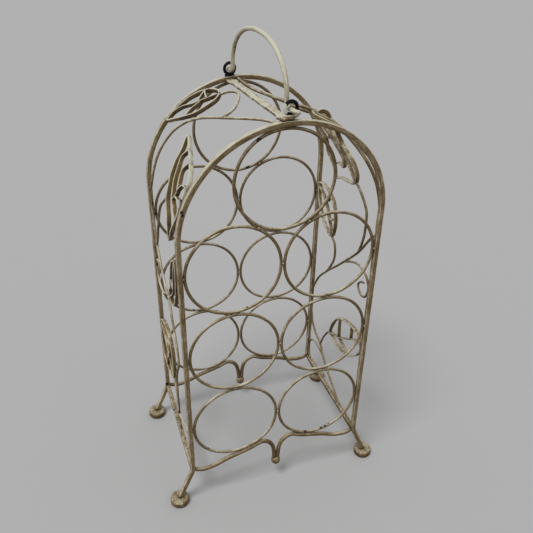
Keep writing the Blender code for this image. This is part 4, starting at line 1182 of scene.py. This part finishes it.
def rim_painted_highlight(name, rim, points, lay):
    """Painted highlight for each point of this left-hand leaf's rim: on the rim's outer
    side, where that faces the lamp at the front."""
    stations = points.reshape(len(rim), -1, 3)
    centres = stations.mean(axis=1, keepdims=True)
    aside = stations - centres
    outer = lay[:, 2].reshape(len(rim), -1)
    outer = outer * np.sign((aside * (centres - points.mean(axis=0)) * outer[:, :, None]).sum())
    facing = (aside * (outer > 0)[:, :, None]).sum(axis=1)
    to_front = np.clip(-facing[:, 1] / np.linalg.norm(facing, axis=1) * 3, 0, 1)
    if name == "shoulder_leaf":
        up_share = (rim[:, 1] - rim[:, 1].min()) / np.ptp(rim[:, 1])
        to_front *= np.clip(up_share * 1.6, 0.3, 0.9)
    else:
        to_front *= np.clip((-0.55 - rim[:, 0] / HALF_SPACING) / 0.25, 0, 0.8)
    return (np.clip(outer / (STRIP_THICKNESS / 2), 0, 1) * to_front[:, None]).ravel()


def add_vine_panel(side, side_name):
    def held(route, half):
        """The route kept between the legs."""
        reach = LEG_FACE - half
        route = np.array(route)
        route[:, 0] = np.clip(route[:, 0], -reach, reach)
        return route

    def leg_root(end, up):
        return np.array((end * (LEG_FACE + LEG_ROOT_DEPTH), flat_point((0, up))[1]))

    def tie_root(across):
        return np.array((flat_point((across, 0))[0], TIE_TOP - TIE_ROOT_DEPTH))

    def curve(table, before=(), after=()):
        return smooth_route([*before, *flat_points(table), *after], ROUTE_STEPS)

    def stem(name, flat, seed, radius=STEM_WIRE / 2, rise=0.0):
        turns = np.sin(np.linspace(0, math.pi, len(flat))) ** 2
        route = np.array([on_panel(side, point, rise * turn) for point, turn in zip(flat, turns)])
        name = f"{side_name}_{name}"
        wire(
            name + "_wire", route, radius, VINE_MATERIALS[side_name], [name],
            WIRE_HAMMER, seed, 10,
        )

    def ribbon(flat, width, thickness, closed=False, lift=None):
        """A strip standing on edge along the flat route."""
        lift = np.zeros(len(flat)) if lift is None else lift
        route = np.array([on_panel(side, point, rise) for point, rise in zip(flat, lift)])
        out = np.array([on_panel(side, point, BAR) - on_panel(side, point) for point in flat])
        return swept(route, block_profile(width, thickness, STRIP_CORNER, 2), closed, out)

    def weld(flat, reach):
        return tuple(on_panel(side, flat)), reach

    vines = VINES[side_name]
    main_leg, main_table, main_tie = vines["main"]
    roof_crown, roof_table, roof_leg = vines["roof"]
    hook_tie, hook_table = vines["hook"]
    leaves = [name for name in vines if name.endswith("_leaf")]
    for start in [vines["tendril"][0], hook_table[-1]] + [vines[name][0][0] for name in leaves]:
        welds.append(weld(flat_point(start), VINE_WELD_REACH))
    for end, up in ((-1, main_leg), (-1, roof_leg), (1, roof_crown)):
        welds.append(weld(leg_root(end, up), ROOT_WELD_REACH))

    main = curve(main_table, [leg_root(-1, main_leg)], [tie_root(main_tie)])
    stem("main_stem", held(main, -LEG_ROOT_DEPTH), side)
    roof = curve(roof_table, [leg_root(1, roof_crown)], [leg_root(-1, roof_leg)])
    stem("roof_stem", roof, 2.0 * side, THICK_STEM_RADIUS if side > 0 else STEM_WIRE / 2)
    tendril = held(curve(vines["tendril"]), TENDRIL_WIRE / 2)
    stem("tendril", tendril, 3.0 * side, TENDRIL_WIRE / 2)
    hook = curve(hook_table, [tie_root(hook_tie)])
    stem("bottom_hook", held(hook, STEM_WIRE / 2), 4.0 * side)

    for index, name in enumerate(leaves):
        stem_table, rim_table, veins = vines[name]
        curled = name == "roof_leaf" and side > 0
        rise = STEM_CURL if curled else 0.0
        stem(name + "_stem", curve(stem_table), 5.0 * side + index, rise=rise)
        rim = held(smooth_route(flat_points(rim_table), RIM_STEPS, closed=True), STRIP_THICKNESS)
        lift = None
        if curled:
            away = np.linalg.norm(rim - flat_point(RIM_CURL_SPOT), axis=1) / RIM_CURL_REACH
            lift = RIM_CURL * np.cos(np.clip(away, 0, 1) * math.pi / 2).clip(0) ** 0.8
        points, faces, lay = ribbon(rim, STRIP_WIDTH, STRIP_THICKNESS, True, lift)
        # Painted highlight on the outer side of the left-hand leaf rims that faces the lamp at the
        # front
        painted_highlight = np.zeros(len(points))
        if side < 0 and name in ("shoulder_leaf", "roof_leaf"):
            painted_highlight = rim_painted_highlight(name, rim, points, lay)
        spots = [weld(flat_point(rim_table[0]), CORNER_WELD_REACH)]
        for vein in veins:
            flat = held(smooth_route(flat_points(vein), VEIN_STEPS), STRIP_THICKNESS)
            more, more_faces, more_lay = ribbon(flat, VEIN_WIDTH, VEIN_THICKNESS)
            points, faces = joined(points, faces, more, more_faces)
            lay = np.concatenate([lay, more_lay])
            for tip in (vein[0], vein[-1]):
                spots.append(weld(flat_point(tip), VEIN_WELD_REACH))
        seed = 7.0 * side + index
        lay[:, 0] += seed
        name = f"{side_name}_{name}"
        piece(
            name + "_iron", hammered(points, LEAF_HAMMER, seed), faces,
            LEAF_MATERIALS[side_name], [name], worn=spots,
            rub_and_highlight=np.pad(painted_highlight, (0, len(points) - len(painted_highlight))), lay=lay,
        )


def add_beads():
    """Blobs of weld where rings, bars and rails meet."""
    rng = np.random.default_rng(7)
    for end, end_name in ENDS:
        points, faces = np.zeros((0, 3)), []
        for spot, direction in FRAME_WELDS:
            if spot[1] * end < 0:
                continue
            if abs(direction[2]) > 0.7:
                lengths, deep, high = FLAT_BEAD
                radii = (rng.uniform(*lengths), deep, high)
            else:
                lengths, wide, deep = UPRIGHT_BEAD
                radii = (wide, deep, rng.uniform(*lengths))
            more, more_faces = ball(spot, radii, rng.uniform(0, 50), LUMP_HAMMER)
            points, faces = joined(points, faces, more, more_faces)
        piece(f"{end_name}_weld_beads", points, faces, BEAD_MATERIAL, worn=())


def add_studio():
    """Floor, soft light from the upper left front and the camera of the photograph."""
    scene = bpy.context.scene
    material, tree, surface = new_material("studio_floor")
    fill(tree, surface, {"Base Color": FLOOR, "Roughness": 1.0, "Specular IOR Level": 0.0})
    mesh = bpy.data.meshes.new("studio_floor")
    corners = [(-1, -1), (1, -1), (1, 1), (-1, 1)]
    corners = [(x * FLOOR_REACH, y * FLOOR_REACH, 0) for x, y in corners]
    mesh.from_pydata(corners, [], [(0, 1, 2, 3)])
    mesh.materials.append(material)
    floor = linked("studio_floor", mesh)

    scene.world = bpy.data.worlds.new("studio")
    scene.world.use_nodes = True
    tree = scene.world.node_tree
    fill(tree, tree.nodes["Background"], {"Color": WORLD_COLOUR, "Strength": WORLD_STRENGTH})

    light = bpy.data.lights.new("key", "SUN")
    light.energy = SUN_STRENGTH
    light.angle = math.radians(SUN_SPREAD_DEGREES)
    direction = Vector(SUN_DIRECTION).to_track_quat("-Z", "Y")
    linked("key", light).rotation_euler = direction.to_euler()

    data = bpy.data.cameras.new("photo_camera")
    data.lens = CAMERA_LENS
    data.sensor_width = SENSOR
    data.sensor_fit = "HORIZONTAL"
    data.clip_start = 0.01
    scene.camera = linked("photo_camera", data)
    placed = Matrix.Translation(CAMERA_SPOT)
    yaw, pitch, roll = (math.radians(value) for value in CAMERA_DEGREES)
    for turn, axis in ((-yaw, "Z"), (math.pi / 2 - pitch, "X"), (roll, "Z")):
        placed = placed @ Matrix.Rotation(turn, 4, axis)
    scene.camera.matrix_world = placed
    scene.view_settings.view_transform = "Standard"


add_arch_bars()
add_rings()
add_rails()
add_feet()
add_finials()
add_ties()
add_ridge_bar()
add_handle()
add_eye_lumps()
for panel_side, panel_name in SIDES:
    add_vine_panel(panel_side, panel_name)
add_beads()
add_studio()

bpy.context.view_layer.update()
